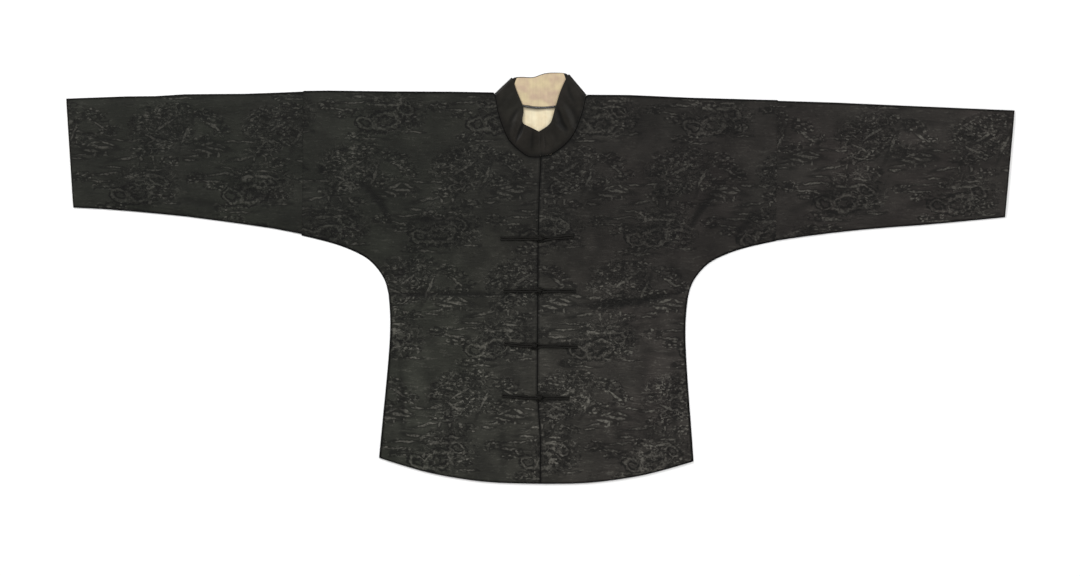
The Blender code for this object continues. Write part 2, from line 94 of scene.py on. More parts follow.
OPENING_COLUMNS = (0.0, 0.8, 1.6, 2.4, 3.2, 3.9, 4.6, 5.3, 6.1, 7.2, 8.8, 11.0, 14.0)
NECK_PITCH, BODY_PITCH = 2.8, 3.5

# Creases of the fronts and the upper sides of the sleeves, placed one by one.
# Columns: start x, start y, end x, end y, half width, height (a trough is negative), bow.
CREASES = (
    (-252.0, -29.5, -118.0, -27.0, 3.6, -0.95, -1.2),
    (-140.0, -27.5, -62.0, -29.0, 3.5, -0.60, 1.0),
    (-246.0, -13.0, -150.0, -8.0, 9.0, 0.50, 2.0),
    (-243.0, -50.0, -168.0, -58.0, 9.0, 0.35, -2.0),
    (60.0, -44.0, 200.0, -38.0, 7.0, -0.70, -1.8),
    (150.0, -36.5, 252.0, -17.0, 4.2, -0.85, -3.0),
    (80.0, -21.0, 190.0, -15.0, 8.0, 0.50, 2.0),
    (120.0, -58.0, 232.0, -62.0, 10.0, 0.35, 2.0),
    (-238.0, 95.0, -119.0, 97.5, 4.5, -0.60, 1.2),
    (-228.0, 110.0, -135.0, 112.0, 10.0, 0.35, 1.0),
    (62.0, 70.0, 74.5, 52.0, 3.0, -0.50, 1.0),
    (150.0, 86.0, 232.0, 92.0, 5.0, -0.40, -1.4),
    (-331.0, 152.0, -262.0, 62.0, 13.0, 0.70, 6.0),
    (-300.0, 160.0, -246.0, 84.0, 6.0, -0.40, 4.0),
    (336.0, 150.0, 268.0, 56.0, 13.0, 0.70, -6.0),
    (306.0, 156.0, 250.0, 80.0, 6.0, -0.40, -4.0),
    (-373.0, 118.0, -326.0, 66.0, 6.0, -0.35, 3.0),
    (376.0, 122.0, 330.0, 68.0, 6.0, -0.35, -3.0),
    (-246.0, -8.0, -214.0, 22.0, 5.0, -0.45, 2.0),
    (247.0, -4.0, 218.0, 28.0, 5.0, -0.45, -2.0),
    (-214.0, -118.0, -205.0, -292.0, 13.0, 0.50, 5.0),
    (-232.0, -150.0, -226.0, -280.0, 6.0, -0.30, 3.0),
    (206.0, -108.0, 218.0, -282.0, 13.0, 0.50, -5.0),
    (229.0, -170.0, 238.0, -290.0, 6.0, -0.30, -3.0),
    (-150.0, -180.0, -138.0, -318.0, 9.0, -0.30, -3.0),
    (128.0, -200.0, 140.0, -322.0, 9.0, -0.30, 3.0),
    (-62.0, -240.0, -54.0, -338.0, 8.0, -0.28, 2.0),
    (58.0, -236.0, 52.0, -338.0, 8.0, -0.28, -2.0),
    (-96.0, -140.0, -70.0, -224.0, 10.0, 0.30, 3.0),
    (92.0, -150.0, 74.0, -226.0, 10.0, 0.30, -3.0),
    (-240.0, -112.0, -176.0, -104.0, 5.0, -0.35, 1.5),
    (176.0, -118.0, 243.0, -126.0, 5.0, -0.35, -1.5),
    (-80.0, 150.0, -70.0, 226.0, 9.0, 0.30, -3.0),
    (82.0, 146.0, 74.0, 224.0, 9.0, 0.30, 3.0),
    (-110.0, 262.0, -86.0, 300.0, 5.0, -0.35, 1.0),
    (112.0, 264.0, 88.0, 302.0, 5.0, -0.35, -1.0),
    (-140.0, 226.0, -240.0, 250.0, 12.0, 0.30, 4.0),
    (146.0, 228.0, 250.0, 246.0, 12.0, 0.30, -4.0),
    (-700.0, 190.0, -560.0, 205.0, 14.0, 0.60, 4.0),
    (540.0, 205.0, 720.0, 182.0, 14.0, 0.60, -4.0),
    (-522.0, 150.0, -436.0, 118.0, 8.0, -0.50, 3.0),
    (430.0, 120.0, 532.0, 160.0, 8.0, -0.50, 3.0),
    (-640.0, 128.0, -520.0, 112.0, 7.0, -0.35, 2.0),
    (600.0, 130.0, 728.0, 138.0, 7.0, -0.35, -2.0),
    (-784.0, 236.0, -716.0, 222.0, 6.0, -0.35, 1.5),
    (716.0, 240.0, 782.0, 232.0, 6.0, -0.35, 1.5),
    (-748.0, 132.0, -690.0, 150.0, 6.0, 0.30, 1.5),
    (682.0, 268.0, 600.0, 276.0, 6.0, -0.30, 1.5),
    (-610.0, 262.0, -500.0, 274.0, 7.0, -0.30, 2.0),
    (-470.0, 236.0, -404.0, 250.0, 8.0, 0.30, 2.0),
    (404.0, 244.0, 476.0, 232.0, 8.0, 0.30, -2.0),
)

# Creases of the back, which lies on the ground: all of them lift off it.
BACK_CREASES = (
    (-246.0, -38.0, -120.0, -34.0, 7.0, 0.30, -2.0),
    (104.0, -40.0, 246.0, -36.0, 7.0, 0.30, 2.0),
    (-320.0, 150.0, -258.0, 60.0, 9.0, 0.35, 5.0),
    (326.0, 146.0, 262.0, 58.0, 9.0, 0.35, -5.0),
    (-190.0, -130.0, -180.0, -300.0, 9.0, 0.30, 4.0),
    (188.0, -120.0, 202.0, -296.0, 9.0, 0.30, -4.0),
    (-40.0, -60.0, -30.0, -250.0, 10.0, 0.25, 3.0),
    (46.0, 40.0, 30.0, -180.0, 10.0, 0.25, -3.0),
    (-200.0, 200.0, -60.0, 220.0, 9.0, 0.30, 3.0),
    (70.0, 214.0, 220.0, 196.0, 9.0, 0.30, 3.0),
)

# Seams beside which the cloth puckers.  Columns: start x, start y, end x, end y, pucker length.
PUCKERED_SEAMS = (
    (-400.0, 80.0, -400.0, 300.0, 15.0),
    (400.0, 80.0, 400.0, 300.0, 15.0),
    (-6.0, -330.0, -8.0, 190.0, 9.0),
    (14.0, -330.0, 8.0, 190.0, 9.0),
    (-258.0, -300.0, -250.0, -40.0, 12.0),
    (258.0, -300.0, 250.0, -40.0, 12.0),
    (-245.0, -306.0, 0.0, -340.0, 11.0),
    (0.0, -340.0, 245.0, -306.0, 11.0),
    (-74.0, 285.0, -50.0, 226.0, 12.0),
    (74.0, 285.0, 50.0, 226.0, 12.0),
)

# Rings by which a cloth edge turns down.  Columns: step outwards, height above the ground or,
# where it is negative, below the cloth's own edge.
CLOSED_TURN = ((0.8, 2.1), (0.7, 1.2), (0.1, 0.5), (-0.5, 0.1))
OPEN_TURN = ((0.25, -0.25), (0.15, -0.8))
JOIN_TURN = ((0.05, -0.35), (0.05, -0.9))
NECK_TURN = ((0.5, -0.35), (0.4, -1.2))

# Frog fastenings, from the collar down, each on the nodes frog_1 to frog_4.
# Columns: y at the knot, end x on the right front, its y, end x on the left front, its y, knot x.
FROGS = (
    (66.5, -64.0, 66.0, 58.5, 71.0, 3.0),
    (-21.5, -58.0, -22.5, 62.5, -21.3, 1.5),
    (-114.5, -56.0, -111.5, 66.5, -114.8, -5.0),
    (-202.0, -58.5, -199.0, 54.5, -201.6, 4.5),
)
STRAND_RADIUS = 1.6
STRAND_SIDE = 1.7
STRAND_REST = 0.15          # under a strand, above the cloth
KNOT_RADIUS = 3.5           # to the middle of the strands that wrap the knot
KNOT_STRAND = 1.05
EYE_RADIUS = 5.8            # loop round the knot, to the middle of its strand
EYE_ANGLES = range(45, 316, 30)
EYE_FLATTENING = 0.92
LOOP_MOUTH = 5.0            # from the eye to where the loop's strands lie side by side
NECK_LENGTH = 9.5           # from the eye back to where the knot's strands lie down
STITCH_PLACES = (0.04, 0.3, 0.56, 0.82)     # shares of a bar
STITCH_REACH = 3.4
THREAD_RADIUS = 0.28
TIP_LENGTH = 0.6            # of a cord's rounded end, in radii
STRAND_SIDES, WRAP_SIDES, THREAD_SIDES = 12, 8, 6
CURVE_STEPS = 4
CORD_TURNS = 620.0          # ridges of the twist, to a metre

# ------------------------------------------------------------------------- charted silk design

REPEAT_WIDTH = 190.0
REPEAT_HEIGHT = 190.0
# Leaves of pines and willows.  Columns: centre x, centre y, half width, half height, turn.
LEAF_MASSES = (
    (-40, 68, 36, 15, 8), (-4, 82, 24, 10, -8), (-66, 50, 20, 10, 18), (-14, 44, 34, 11, -6),
    (42, 66, 26, 12, -20), (66, 42, 18, 10, 12), (-62, 8, 24, 9, -4), (-26, 20, 24, 9, 22),
    (24, 28, 24, 9, 16), (72, -8, 18, 9, 0), (-74, -36, 18, 9, 6), (64, -62, 22, 10, -12),
    (-38, -50, 20, 8, 8), (12, -30, 22, 8, -8), (-20, -86, 24, 8, 5),
)
# Groves: the dense, darker groups of the design, two to a repeat.
GROVES = ((-38, 50, 57, 42, 8), (40, -46, 57, 40, -6))
# Terraced rocks, drawn as broken nested outlines.
ROCKS = (
    (24, -62, 34, 20, 14), (-10, -66, 22, 14, -18), (56, -42, 20, 12, -24), (-44, 20, 22, 10, 16),
)
# Trunks, eaves, posts, boats and ripples.
STROKES = (
    (-30, 52, 22, 2.2, 32), (6, 38, 18, 2.4, 68), (-48, 30, 16, 2.0, -24), (52, 50, 14, 2.0, -34),
    (8, -2, 22, 2.2, 12), (36, 8, 15, 2.4, -8), (54, 14, 18, 2.6, -6), (40, 20, 12, 2.2, 20),
    (64, 20, 11, 2.0, -20), (44, -1, 8, 2.2, 90), (60, 0, 8, 2.0, 88), (26, -2, 6, 2.0, 90),
    (48, -24, 14, 1.8, 0), (16, -34, 12, 2.4, 0), (42, -33, 15, 2.8, 2), (-30, -30, 20, 1.6, 3),
    (-46, -42, 16, 1.6, -2), (74, -80, 13, 1.6, 2), (-18, -20, 13, 1.7, -3), (-80, 26, 12, 1.7, 4),
    (82, 26, 11, 1.6, -3), (0, -92, 18, 1.7, 2), (-84, -6, 10, 1.6, 0),
)
DASH = (10.5, 4.4, 1.0)             # size of one leaf
STREAK = (14.0, 7.0, 1.0)           # size of the lights and darks inside a grove
RIPPLE = (42.0, 3.4, 1.0)           # size of the level streaks of the ground
ROCK_OUTLINES = 1.9
OLIVE_FADE = (0.0134, 0.0152, 0.0108, 1.0)
BROWN_FADE = (0.0180, 0.0141, 0.0132, 1.0)
DARKEST_TROUGH = 0.5        # depth at which a crease's painted shade is darkest, in millimetres
SEAM_PIPING = (0.012, 0.010, 0.008, 1.0)
DEEP_SHADE = (0.0020, 0.0020, 0.0018, 1.0)
SATIN_FADE = (0.0136, 0.0108, 0.0092, 1.0)
CORD_GROOVE_SHADE = (0.0035, 0.0034, 0.0030, 1.0)
INNER_CREAM, INNER_STAIN = (0.55, 0.47, 0.33), (0.42, 0.35, 0.26, 1.0)
COLLAR_STAIN = (0.42, 0.31, 0.22, 1.0)
BACK_CREAM, BACK_STAIN = (0.66, 0.59, 0.42), (0.60, 0.50, 0.33, 1.0)
PATTERN_SHIFT = {           # of the design on each piece, in millimetres
    "silk_back": (0.0, 0.0),
    "silk_front_right": (0.0, 57.0),
    "silk_front_left": (17.0, 57.0),
    "silk_sleeve_left": (-113.0, -5.0),
    "silk_sleeve_right": (-62.0, -8.0),
}


# --------------------------------------------------------------------------- settings to change


class JacketCloth(bpy.types.PropertyGroup):
    """Sizes of the cloth and how unevenly it lies."""

    wall: FloatProperty(
        name="Cloth thickness", description="Silk with its lining",
        default=0.0009, min=0.0003, max=0.002, precision=4, unit="LENGTH")
    crease_depth: FloatProperty(
        name="Crease depth", description="How strongly the placed creases show",
        default=1.0, min=0.0, max=1.5, subtype="FACTOR")
    pucker_depth: FloatProperty(
        name="Seam puckers", description="Height of the small puckers beside the seams",
        default=0.00022, min=0.0, max=0.001, precision=5, unit="LENGTH")


class JacketColours(bpy.types.PropertyGroup):
    """Colours of the silks, the lining and the cords."""

    ground: FloatVectorProperty(
        name="Silk ground", description="Matt ground of the figured silk",
        default=(0.0150, 0.0147, 0.0126), subtype="COLOR", size=3, min=0.0, max=1.0)
    # Also the colour that the opening's ridge is lightened towards, partly as wear and partly as a
    # painted highlight.
    figure: FloatVectorProperty(
        name="Silk figure", description="Raised threads of the design",
        default=(0.058, 0.0555, 0.0475), subtype="COLOR", size=3, min=0.0, max=1.0)
    # Also the colour of the painted shade in the creases, along the opening and beside the collar
    # seam.
    shade: FloatVectorProperty(
        name="Silk shade", description="Sunk threads round the design",
        default=(0.0028, 0.0027, 0.0024), subtype="COLOR", size=3, min=0.0, max=1.0)
    satin: FloatVectorProperty(
        name="Collar satin", description="Plain satin of the collar",
        default=(0.0118, 0.0117, 0.0092), subtype="COLOR", size=3, min=0.0, max=1.0)
    lining: FloatVectorProperty(
        name="Lining", description="Cream silk inside the collar",
        default=(0.50, 0.41, 0.25), subtype="COLOR", size=3, min=0.0, max=1.0)
    cord: FloatVectorProperty(
        name="Frog cord", description="Rolled satin of the frogs",
        default=(0.0125, 0.0116, 0.0100), subtype="COLOR", size=3, min=0.0, max=1.0)


class JacketStage(bpy.types.PropertyGroup):
    """Camera and light."""

    camera_height: FloatProperty(
        name="Camera height", description="Above the floor",
        default=4.5, min=1.0, max=12.0, unit="LENGTH")
    view_width: FloatProperty(
        name="View width", description="Floor width that the camera takes in",
        default=1.823, min=0.5, max=6.0, unit="LENGTH")
    camera_turn: FloatProperty(
        name="Camera turn", description="Turn of the camera about the vertical",
        default=math.radians(0.66), subtype="ANGLE")
    daylight: FloatProperty(
        name="Room light", description="Strength of the even light from all round",
        default=0.52, min=0.0, max=3.0)
    key: FloatProperty(
        name="Key light", description="Power of the large soft light",
        default=74.0, min=0.0, max=500.0)


# ------------------------------------------------------------------------------- making pieces


def use_only(piece):
    bpy.ops.object.select_all(action="DESELECT")
    piece.select_set(True)
    bpy.context.view_layer.objects.active = piece


def apply_modifier(piece, kind, **settings):
    use_only(piece)
    modifier = piece.modifiers.new(kind.lower(), kind)
    for name, value in settings.items():
        setattr(modifier, name, value)
    bpy.ops.object.modifier_apply(modifier=modifier.name)


def new_piece(name, shape, *materials):
    """Object made of a bmesh, which is used up."""
    mesh = bpy.data.meshes.new(name)
    shape.to_mesh(mesh)
    shape.free()
    for material in materials:
        mesh.materials.append(material)
    piece = bpy.data.objects.new(name, mesh)
    bpy.context.scene.collection.objects.link(piece)
    return piece


def node_shape(node):
    """Welded copy of a CAD node."""
    shape = bmesh.new()
    shape.from_mesh(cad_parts[node].data)
    bmesh.ops.remove_doubles(shape, verts=shape.verts, dist=0.00001)
    return shape


def join_quads(shape):
    bmesh.ops.join_triangles(
        shape, faces=shape.faces, angle_face_threshold=math.radians(40),
        angle_shape_threshold=math.radians(120), cmp_seam=False, cmp_sharp=False)


def add_shape(shape, other):
    """Add a second bmesh, which is used up."""
    mesh = bpy.data.meshes.new("part")
    other.to_mesh(mesh)
    other.free()
    shape.from_mesh(mesh)
    bpy.data.meshes.remove(mesh)


def read_points(mesh):
    points = np.empty(len(mesh.vertices) * 3)
    mesh.vertices.foreach_get("co", points)
    return points.reshape(-1, 3)


def write_points(mesh, points):
    mesh.vertices.foreach_set("co", points.ravel())
    mesh.update()


def smooth_step(value):
    value = np.clip(value, 0.0, 1.0)
    return value * value * (3 - 2 * value)


def crease_heights(points, creases):
    """Sum of soft troughs and ridges at points, all in millimetres."""
    total = np.zeros(len(points))
    for x0, y0, x1, y1, half_width, height, bow in creases:
        along = np.array((x1 - x0, y1 - y0))
        length = np.hypot(*along)
        along = along / length
        offset = points[:, :2] - (x0, y0)
        share = offset @ along / length
        inside = np.clip(share, 0.0, 1.0)
        across = offset @ np.array((-along[1], along[0])) - bow * 4 * inside * (1 - inside)
        width = half_width * (0.6 + 0.4 * np.sin(math.pi * inside))
        beyond = (share - inside) * length / half_width
        fade = np.sin(math.pi * np.clip(inside, 0.04, 0.96)) ** 0.6 * np.exp(-beyond ** 2)
        u = across / width
        total += height * fade * (np.exp(-u ** 2) - 0.30 * np.exp(-(np.abs(u) - 2.1) ** 2))
    return total


def pucker_creases():
    """Short creases that stand off the seams, unevenly spaced."""
    draw = random.Random(11)
    creases = []
    for x0, y0, x1, y1, reach in PUCKERED_SEAMS:
        start, end = Vector((x0, y0)), Vector((x1, y1))
        length = (end - start).length
        along = (end - start).normalized()
        across = Vector((-along.y, along.x))
        place = draw.uniform(2.0, 8.0)
        while place < length:
            middle = start + along * place
            half = across * reach * draw.uniform(0.4, 1.0)
            half += along * draw.uniform(-3.0, 3.0)
            height = draw.choice((-1.0, 1.0, -0.7)) * draw.uniform(0.35, 1.0)
            creases.append((*(middle - half), *(middle + half), draw.uniform(2.4, 4.0), height, 0))
            place += draw.uniform(7.0, 19.0)
    return creases


def slow_waves(points, seed):
    """Broad unevenness of a sheet that lies flat, from -1 to 1."""
    draw = random.Random(seed)
    total = np.zeros(len(points))
    for length in (310.0, 230.0, 170.0, 120.0, 90.0, 64.0):
        turn = draw.uniform(0, math.pi)
        phase = draw.uniform(0, 2 * math.pi)
        along = points[:, 0] * math.cos(turn) + points[:, 1] * math.sin(turn)
        total += np.sin(2 * math.pi * along / length + phase) * length / 310.0
    return total / 3.0


def lie_unevenly(piece, share, creases, seed):
    """Give a sheet its creases, puckers and waves; share is how freely each point may move."""
    cloth = bpy.context.scene.jacket_cloth
    points = read_points(piece.data)
    flat = points / MM
    height = crease_heights(flat, creases) * cloth.crease_depth
    # Painted shade in the troughs of the creases.
    mark(piece, "hollow_shade", np.clip(-height / DARKEST_TROUGH, 0.0, 1.0) * (share > 0.02))
    height += slow_waves(flat, seed) * 0.16
    points[:, 2] += height * share * MM
    puckers = crease_heights(flat, pucker_creases()) * cloth.pucker_depth
    points[:, 2] += puckers * np.sqrt(share)
    write_points(piece.data, points)


def mark(piece, name, values):
    """Add values at the points of a piece to a named attribute of its mesh."""
    layer = piece.data.attributes.get(name)
    if layer is None:
        layer = piece.data.attributes.new(name, "FLOAT", "POINT")
    before = np.empty(len(values), dtype=np.float32)
    layer.data.foreach_get("value", before)
    layer.data.foreach_set("value", (before + values).astype(np.float32))


def edge_share(piece, outline, reach):
    """0 on the given outline points, 1 at reach or more from them, in millimetres."""
    tree = kdtree.KDTree(len(outline))
    for index, point in enumerate(outline):
        tree.insert((point[0], point[1], 0.0), index)
    tree.balance()
    points = read_points(piece.data)
    far = np.array([tree.find((x, y, 0.0))[2] for x, y, _ in points]) / MM
    return smooth_step(far / reach)


def frog_share(points):
    """Small near the frogs, whose cords lie on the cloth."""
    share = np.ones(len(points))
    for knot_y, right_x, _, left_x, _, _ in FROGS:
        out_x = np.maximum(np.maximum(right_x - points[:, 0], points[:, 0] - left_x), 0.0)
        distance = np.hypot(out_x, points[:, 1] - knot_y)
        share = np.minimum(share, 0.1 + 0.9 * smooth_step((distance - 4.0) / 14.0))
    return share


def outward_steps(edges):
    """Level direction away from the sheet at each point of an open edge."""
    steps = {}
    for edge in edges:
        face = edge.link_faces[0]
        a, b = edge.verts
        along = (b.co - a.co).normalized()
        out = Vector((along.y, -along.x, 0.0))
        if out.dot(edge.verts[0].co - face.calc_center_median()) < 0:
            out = -out
        for vert in edge.verts:
            steps[vert] = steps.get(vert, Vector()) + out
    return {vert: out.normalized() for vert, out in steps.items()}


def turn_edge(shape, edges, rings, shade):
    """Turn an open edge down over rings of new faces, and mark them with painted shade in a layer.
    """
    layer = shape.verts.layers.float["edge_shade"]
    steps = outward_steps(edges)
    starts = {vert: vert.co.z for vert in steps}
    for vert in steps:
        vert[layer] = max(vert[layer], shade)
    for out, height in rings:
        made = bmesh.ops.extrude_edge_only(shape, edges=edges)["geom"]
        edges = [part for part in made if isinstance(part, bmesh.types.BMEdge)]
        fresh = {part for part in made if isinstance(part, bmesh.types.BMVert)}
        next_steps, next_starts = {}, {}
        for vert in fresh:
            old = next(
                other for edge in vert.link_edges for other in [edge.other_vert(vert)]
                if other in steps and other not in fresh)
            vert.co = old.co + steps[old] * out * MM
            vert.co.z = starts[old] + height * MM if height < 0 else height * MM
            vert[layer] = shade
            next_steps[vert], next_starts[vert] = steps[old], starts[old]
        steps, starts = next_steps, next_starts


def finish_sheet(piece, nodes, thickness, inner=1):
    """Thicken an open sheet inwards, smooth its shading and hang it on the frame."""
    apply_modifier(
        piece, "SOLIDIFY", thickness=thickness, offset=-1.0, use_even_offset=False,
        material_offset=inner, material_offset_rim=0)
    hang(piece, nodes)


def hang(piece, nodes):
    use_only(piece)
    bpy.ops.object.shade_smooth_by_angle(angle=math.radians(55))
    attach(piece, "root")
    if nodes:
        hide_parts(*nodes)


# -------------------------------------------------------------------------------- node graphs


class Graph:
    """Adds nodes to one tree and links them; a value may be a socket, a number or a vector."""

    def __init__(self, tree):
        self.tree = tree

    def feed(self, socket, value):
        if isinstance(value, bpy.types.NodeSocket):
            self.tree.links.new(value, socket)
        elif value is not None:
            socket.default_value = value

    def node(self, kind, **settings):
        made = self.tree.nodes.new(kind)
        for name, value in settings.items():
            setattr(made, name, value)
        return made

    def math(self, operation, *values, clamp=False):
        made = self.node("ShaderNodeMath", operation=operation, use_clamp=clamp)
        for socket, value in zip(made.inputs, values):
            self.feed(socket, value)
        return made.outputs[0]

    def times(self, a, b, clamp=False):
        return self.math("MULTIPLY", a, b, clamp=clamp)

    def fit(self, value, gain, start, clamp=False):
        """The value times a gain, from a start."""
        return self.math("MULTIPLY_ADD", value, gain, start, clamp=clamp)

    def largest(self, first, *others, clamp=False):
        for other in others:
            last = other is others[-1]
            first = self.math("MAXIMUM", first, other, clamp=clamp and last)
        return first

    def toned(self, colour, tone):
        """A colour made lighter or darker by a number."""
        return self.mix(1.0, colour, self.join(tone, tone, tone), "MULTIPLY")

    def vector(self, operation, *values, scale=None):
        made = self.node("ShaderNodeVectorMath", operation=operation)
        for socket, value in zip(made.inputs, values):
            self.feed(socket, value)
        if scale is not None:
            self.feed(made.inputs["Scale"], scale)
        return made.outputs["Value" if operation in ("LENGTH", "DOT_PRODUCT") else "Vector"]

    def placed(self, vector, place, turn, size):
        """A point seen from a shape's own middle, in the shape's own half sizes."""
        made = self.node("ShaderNodeMapping", vector_type="TEXTURE")
        self.feed(made.inputs["Vector"], vector)
        made.inputs["Location"].default_value = (*place, 0.0)
        made.inputs["Rotation"].default_value = (0.0, 0.0, math.radians(turn))
        made.inputs["Scale"].default_value = (*size, 1.0)
        return made.outputs["Vector"]

    def step(self, value, low, high):
        """0 at low, 1 at high, smooth between."""
        made = self.node("ShaderNodeMapRange", interpolation_type="SMOOTHSTEP")
        self.feed(made.inputs["Value"], value)
        self.feed(made.inputs["From Min"], low)
        self.feed(made.inputs["From Max"], high)
        return made.outputs["Result"]

    def mix(self, share, a, b, blend="MIX"):
        made = self.node("ShaderNodeMix", data_type="RGBA", blend_type=blend)
        self.feed(made.inputs["Factor"], share)
        self.feed(made.inputs[6], a)
        self.feed(made.inputs[7], b)
        return made.outputs[2]

    def noise(self, vector, scale, detail=2.0, roughness=0.5, distortion=0.0):
        made = self.node("ShaderNodeTexNoise")
        self.feed(made.inputs["Vector"], vector)
        made.inputs["Scale"].default_value = scale
        made.inputs["Detail"].default_value = detail
        made.inputs["Roughness"].default_value = roughness
        made.inputs["Distortion"].default_value = distortion
        return made.outputs

    def cells(self, vector, randomness=1.0):
        made = self.node("ShaderNodeTexVoronoi", feature="F1")
        self.feed(made.inputs["Vector"], vector)
        made.inputs["Scale"].default_value = 1.0
        made.inputs["Randomness"].default_value = randomness
        return made.outputs

    def split(self, vector):
        made = self.node("ShaderNodeSeparateXYZ")
        self.feed(made.inputs[0], vector)
        return made.outputs

    def join(self, x, y, z=0.0):
        made = self.node("ShaderNodeCombineXYZ")
        for socket, value in zip(made.inputs, (x, y, z)):
            self.feed(socket, value)
        return made.outputs[0]

    def nearest(self, vector, shapes):
        """Smallest distance to a table of turned ellipses, 1 on an outline."""
        along, up, _ = self.split(vector)
        smallest = None
        for x, y, half_width, half_height, turn in shapes:
            # Each shape waits for the one before it, which keeps the shader's memory small.
            waiting = 0.0 if smallest is None else self.math("MULTIPLY", smallest, 1e-9)
            here = self.join(along, up, waiting)
            here = self.placed(here, (x, y), turn, (half_width, half_height))
            distance = self.vector("LENGTH", here)
            smallest = distance if smallest is None else self.math("MINIMUM", smallest, distance)
        return smallest

    def group(self, name, **values):
        made = self.node("ShaderNodeGroup")
        made.node_tree = GROUPS[name]()
        for socket, value in values.items():
            self.feed(made.inputs[socket.replace("_", " ")], value)
        return made.outputs


def new_group(name, inputs, outputs):
    """Empty node group; inputs are name: (type, default), outputs are name: type."""
    tree = bpy.data.node_groups.new(name, "ShaderNodeTree")
    for title, (kind, default) in inputs.items():
        socket = tree.interface.new_socket(name=title, in_out="INPUT", socket_type=kind)
        if default is not None:
            socket.default_value = default
    for title, kind in outputs.items():
        tree.interface.new_socket(name=title, in_out="OUTPUT", socket_type=kind)
    graph = Graph(tree)
    return graph, graph.node("NodeGroupInput").outputs, graph.node("NodeGroupOutput").inputs


def landscape_group():
    """The woven landscape: trees, terraced rocks, pavilions and water, in a stepped repeat."""
    if "silk_landscape" in bpy.data.node_groups:
        return bpy.data.node_groups["silk_landscape"]
    graph, given, result = new_group(
        "silk_landscape",
        {"Position": ("NodeSocketVector", None), "Shift": ("NodeSocketVector", None)},
        {"Light": "NodeSocketFloat", "Shade": "NodeSocketFloat", "Height": "NodeSocketFloat"})
    flat = graph.vector("MULTIPLY", given["Position"], (1 / MM, 1 / MM, 0.0))
    place = graph.vector("ADD", flat, given["Shift"])
    for scale, reach in ((34.0, 10.0), (110.0, 5.0)):
        drift = graph.noise(given["Position"], scale)["Color"]
        drift = graph.vector("SUBTRACT", drift, (0.5, 0.5, 0.5))
        place = graph.vector("ADD", place, graph.vector("SCALE", drift, scale=reach))
    x, y, _ = graph.split(place)
    row = graph.math("FLOOR", graph.math("DIVIDE", y, REPEAT_HEIGHT))
    odd = graph.math("FLOORED_MODULO", row, 2.0)
    x = graph.fit(odd, REPEAT_WIDTH / 2, x)
    x = graph.math("WRAP", x, REPEAT_WIDTH / 2, -REPEAT_WIDTH / 2)
    y = graph.math("WRAP", y, REPEAT_HEIGHT / 2, -REPEAT_HEIGHT / 2)
    local = graph.join(x, y)

    leaves = graph.nearest(local, LEAF_MASSES)
    rocks = graph.nearest(local, ROCKS)
    strokes = graph.nearest(local, STROKES)
    ragged = graph.noise(given["Position"], 140.0, 3.0)["Fac"]
    ragged = graph.fit(ragged, 1.3, -0.65)
    beads = graph.step(graph.noise(given["Position"], 210.0, 2.0)["Fac"], 0.36, 0.62)

    # Groves: a darker mass of curling lights and darks.
    grove = graph.nearest(local, GROVES)
    grove = graph.step(graph.fit(ragged, 0.45, grove), 1.12, 0.84)
    curls = graph.noise(graph.vector("DIVIDE", place, STREAK), 1.0, 2.0, 0.6, 1.1)["Fac"]
    curl_light = graph.times(graph.step(curls, 0.54, 0.72), 0.62)
    curl_light = graph.times(curl_light, grove)
    curl_shade = graph.fit(graph.step(curls, 0.48, 0.34), 0.62, 0.30)
    curl_shade = graph.times(curl_shade, grove)

    # Leaves: short level dashes, the brightest threads of all.
    mass = graph.step(graph.math("ADD", leaves, ragged), 1.25, 0.85)
    cell = graph.cells(graph.vector("DIVIDE", place, DASH))
    lively = graph.step(graph.split(cell["Color"])[0], 0.25, 0.85)
    leaf_light = graph.times(graph.step(cell["Distance"], 0.46, 0.22), lively)
    leaf_light = graph.times(leaf_light, mass)
    leaf_shade = graph.times(graph.step(cell["Distance"], 0.42, 0.60), 0.7)
    leaf_shade = graph.times(leaf_shade, mass)

    # Rocks: nested outlines, broken and uneven, round a dark core.
    rim = graph.fit(ragged, 0.55, rocks)
    wave = graph.math("SINE", graph.times(rim, 2 * math.pi * ROCK_OUTLINES))
    in_rock = graph.times(graph.step(rim, 1.15, 1.0), graph.step(rim, 0.22, 0.42))
    rock_light = graph.times(graph.step(wave, 0.25, 0.9), in_rock)
    rock_light = graph.times(rock_light, graph.times(beads, 0.55))
    rock_shade = graph.times(graph.step(wave, 0.2, -0.7), graph.step(rim, 1.15, 0.95))
    rock_shade = graph.times(rock_shade, 0.85)

    # Strokes: short tapering lines of uneven brightness with a shade round them.
    stroke = graph.fit(ragged, 0.5, strokes)
    line = graph.step(stroke, 1.1, 0.65)
    line = graph.times(line, graph.fit(beads, 0.65, 0.15))
    line_shade = graph.times(graph.step(stroke, 2.8, 1.2), 0.6)

    # Ground: faint level streaks of water and mist.
    ripples = graph.noise(graph.vector("DIVIDE", place, RIPPLE), 1.0, 2.0, 0.6)["Fac"]
    mist = graph.times(graph.step(ripples, 0.56, 0.72), 0.30)
    hollow_shade = graph.times(graph.step(ripples, 0.46, 0.30), 0.35)

    light = graph.largest(leaf_light, rock_light, line, curl_light, mist, clamp=True)
    shade = graph.largest(leaf_shade, rock_shade, line_shade, hollow_shade, curl_shade)
    shade = graph.math("SUBTRACT", shade, light, clamp=True)
    graph.feed(result["Light"], light)
    graph.feed(result["Shade"], shade)
    graph.feed(result["Height"], graph.math("SUBTRACT", light, shade))
    return graph.tree


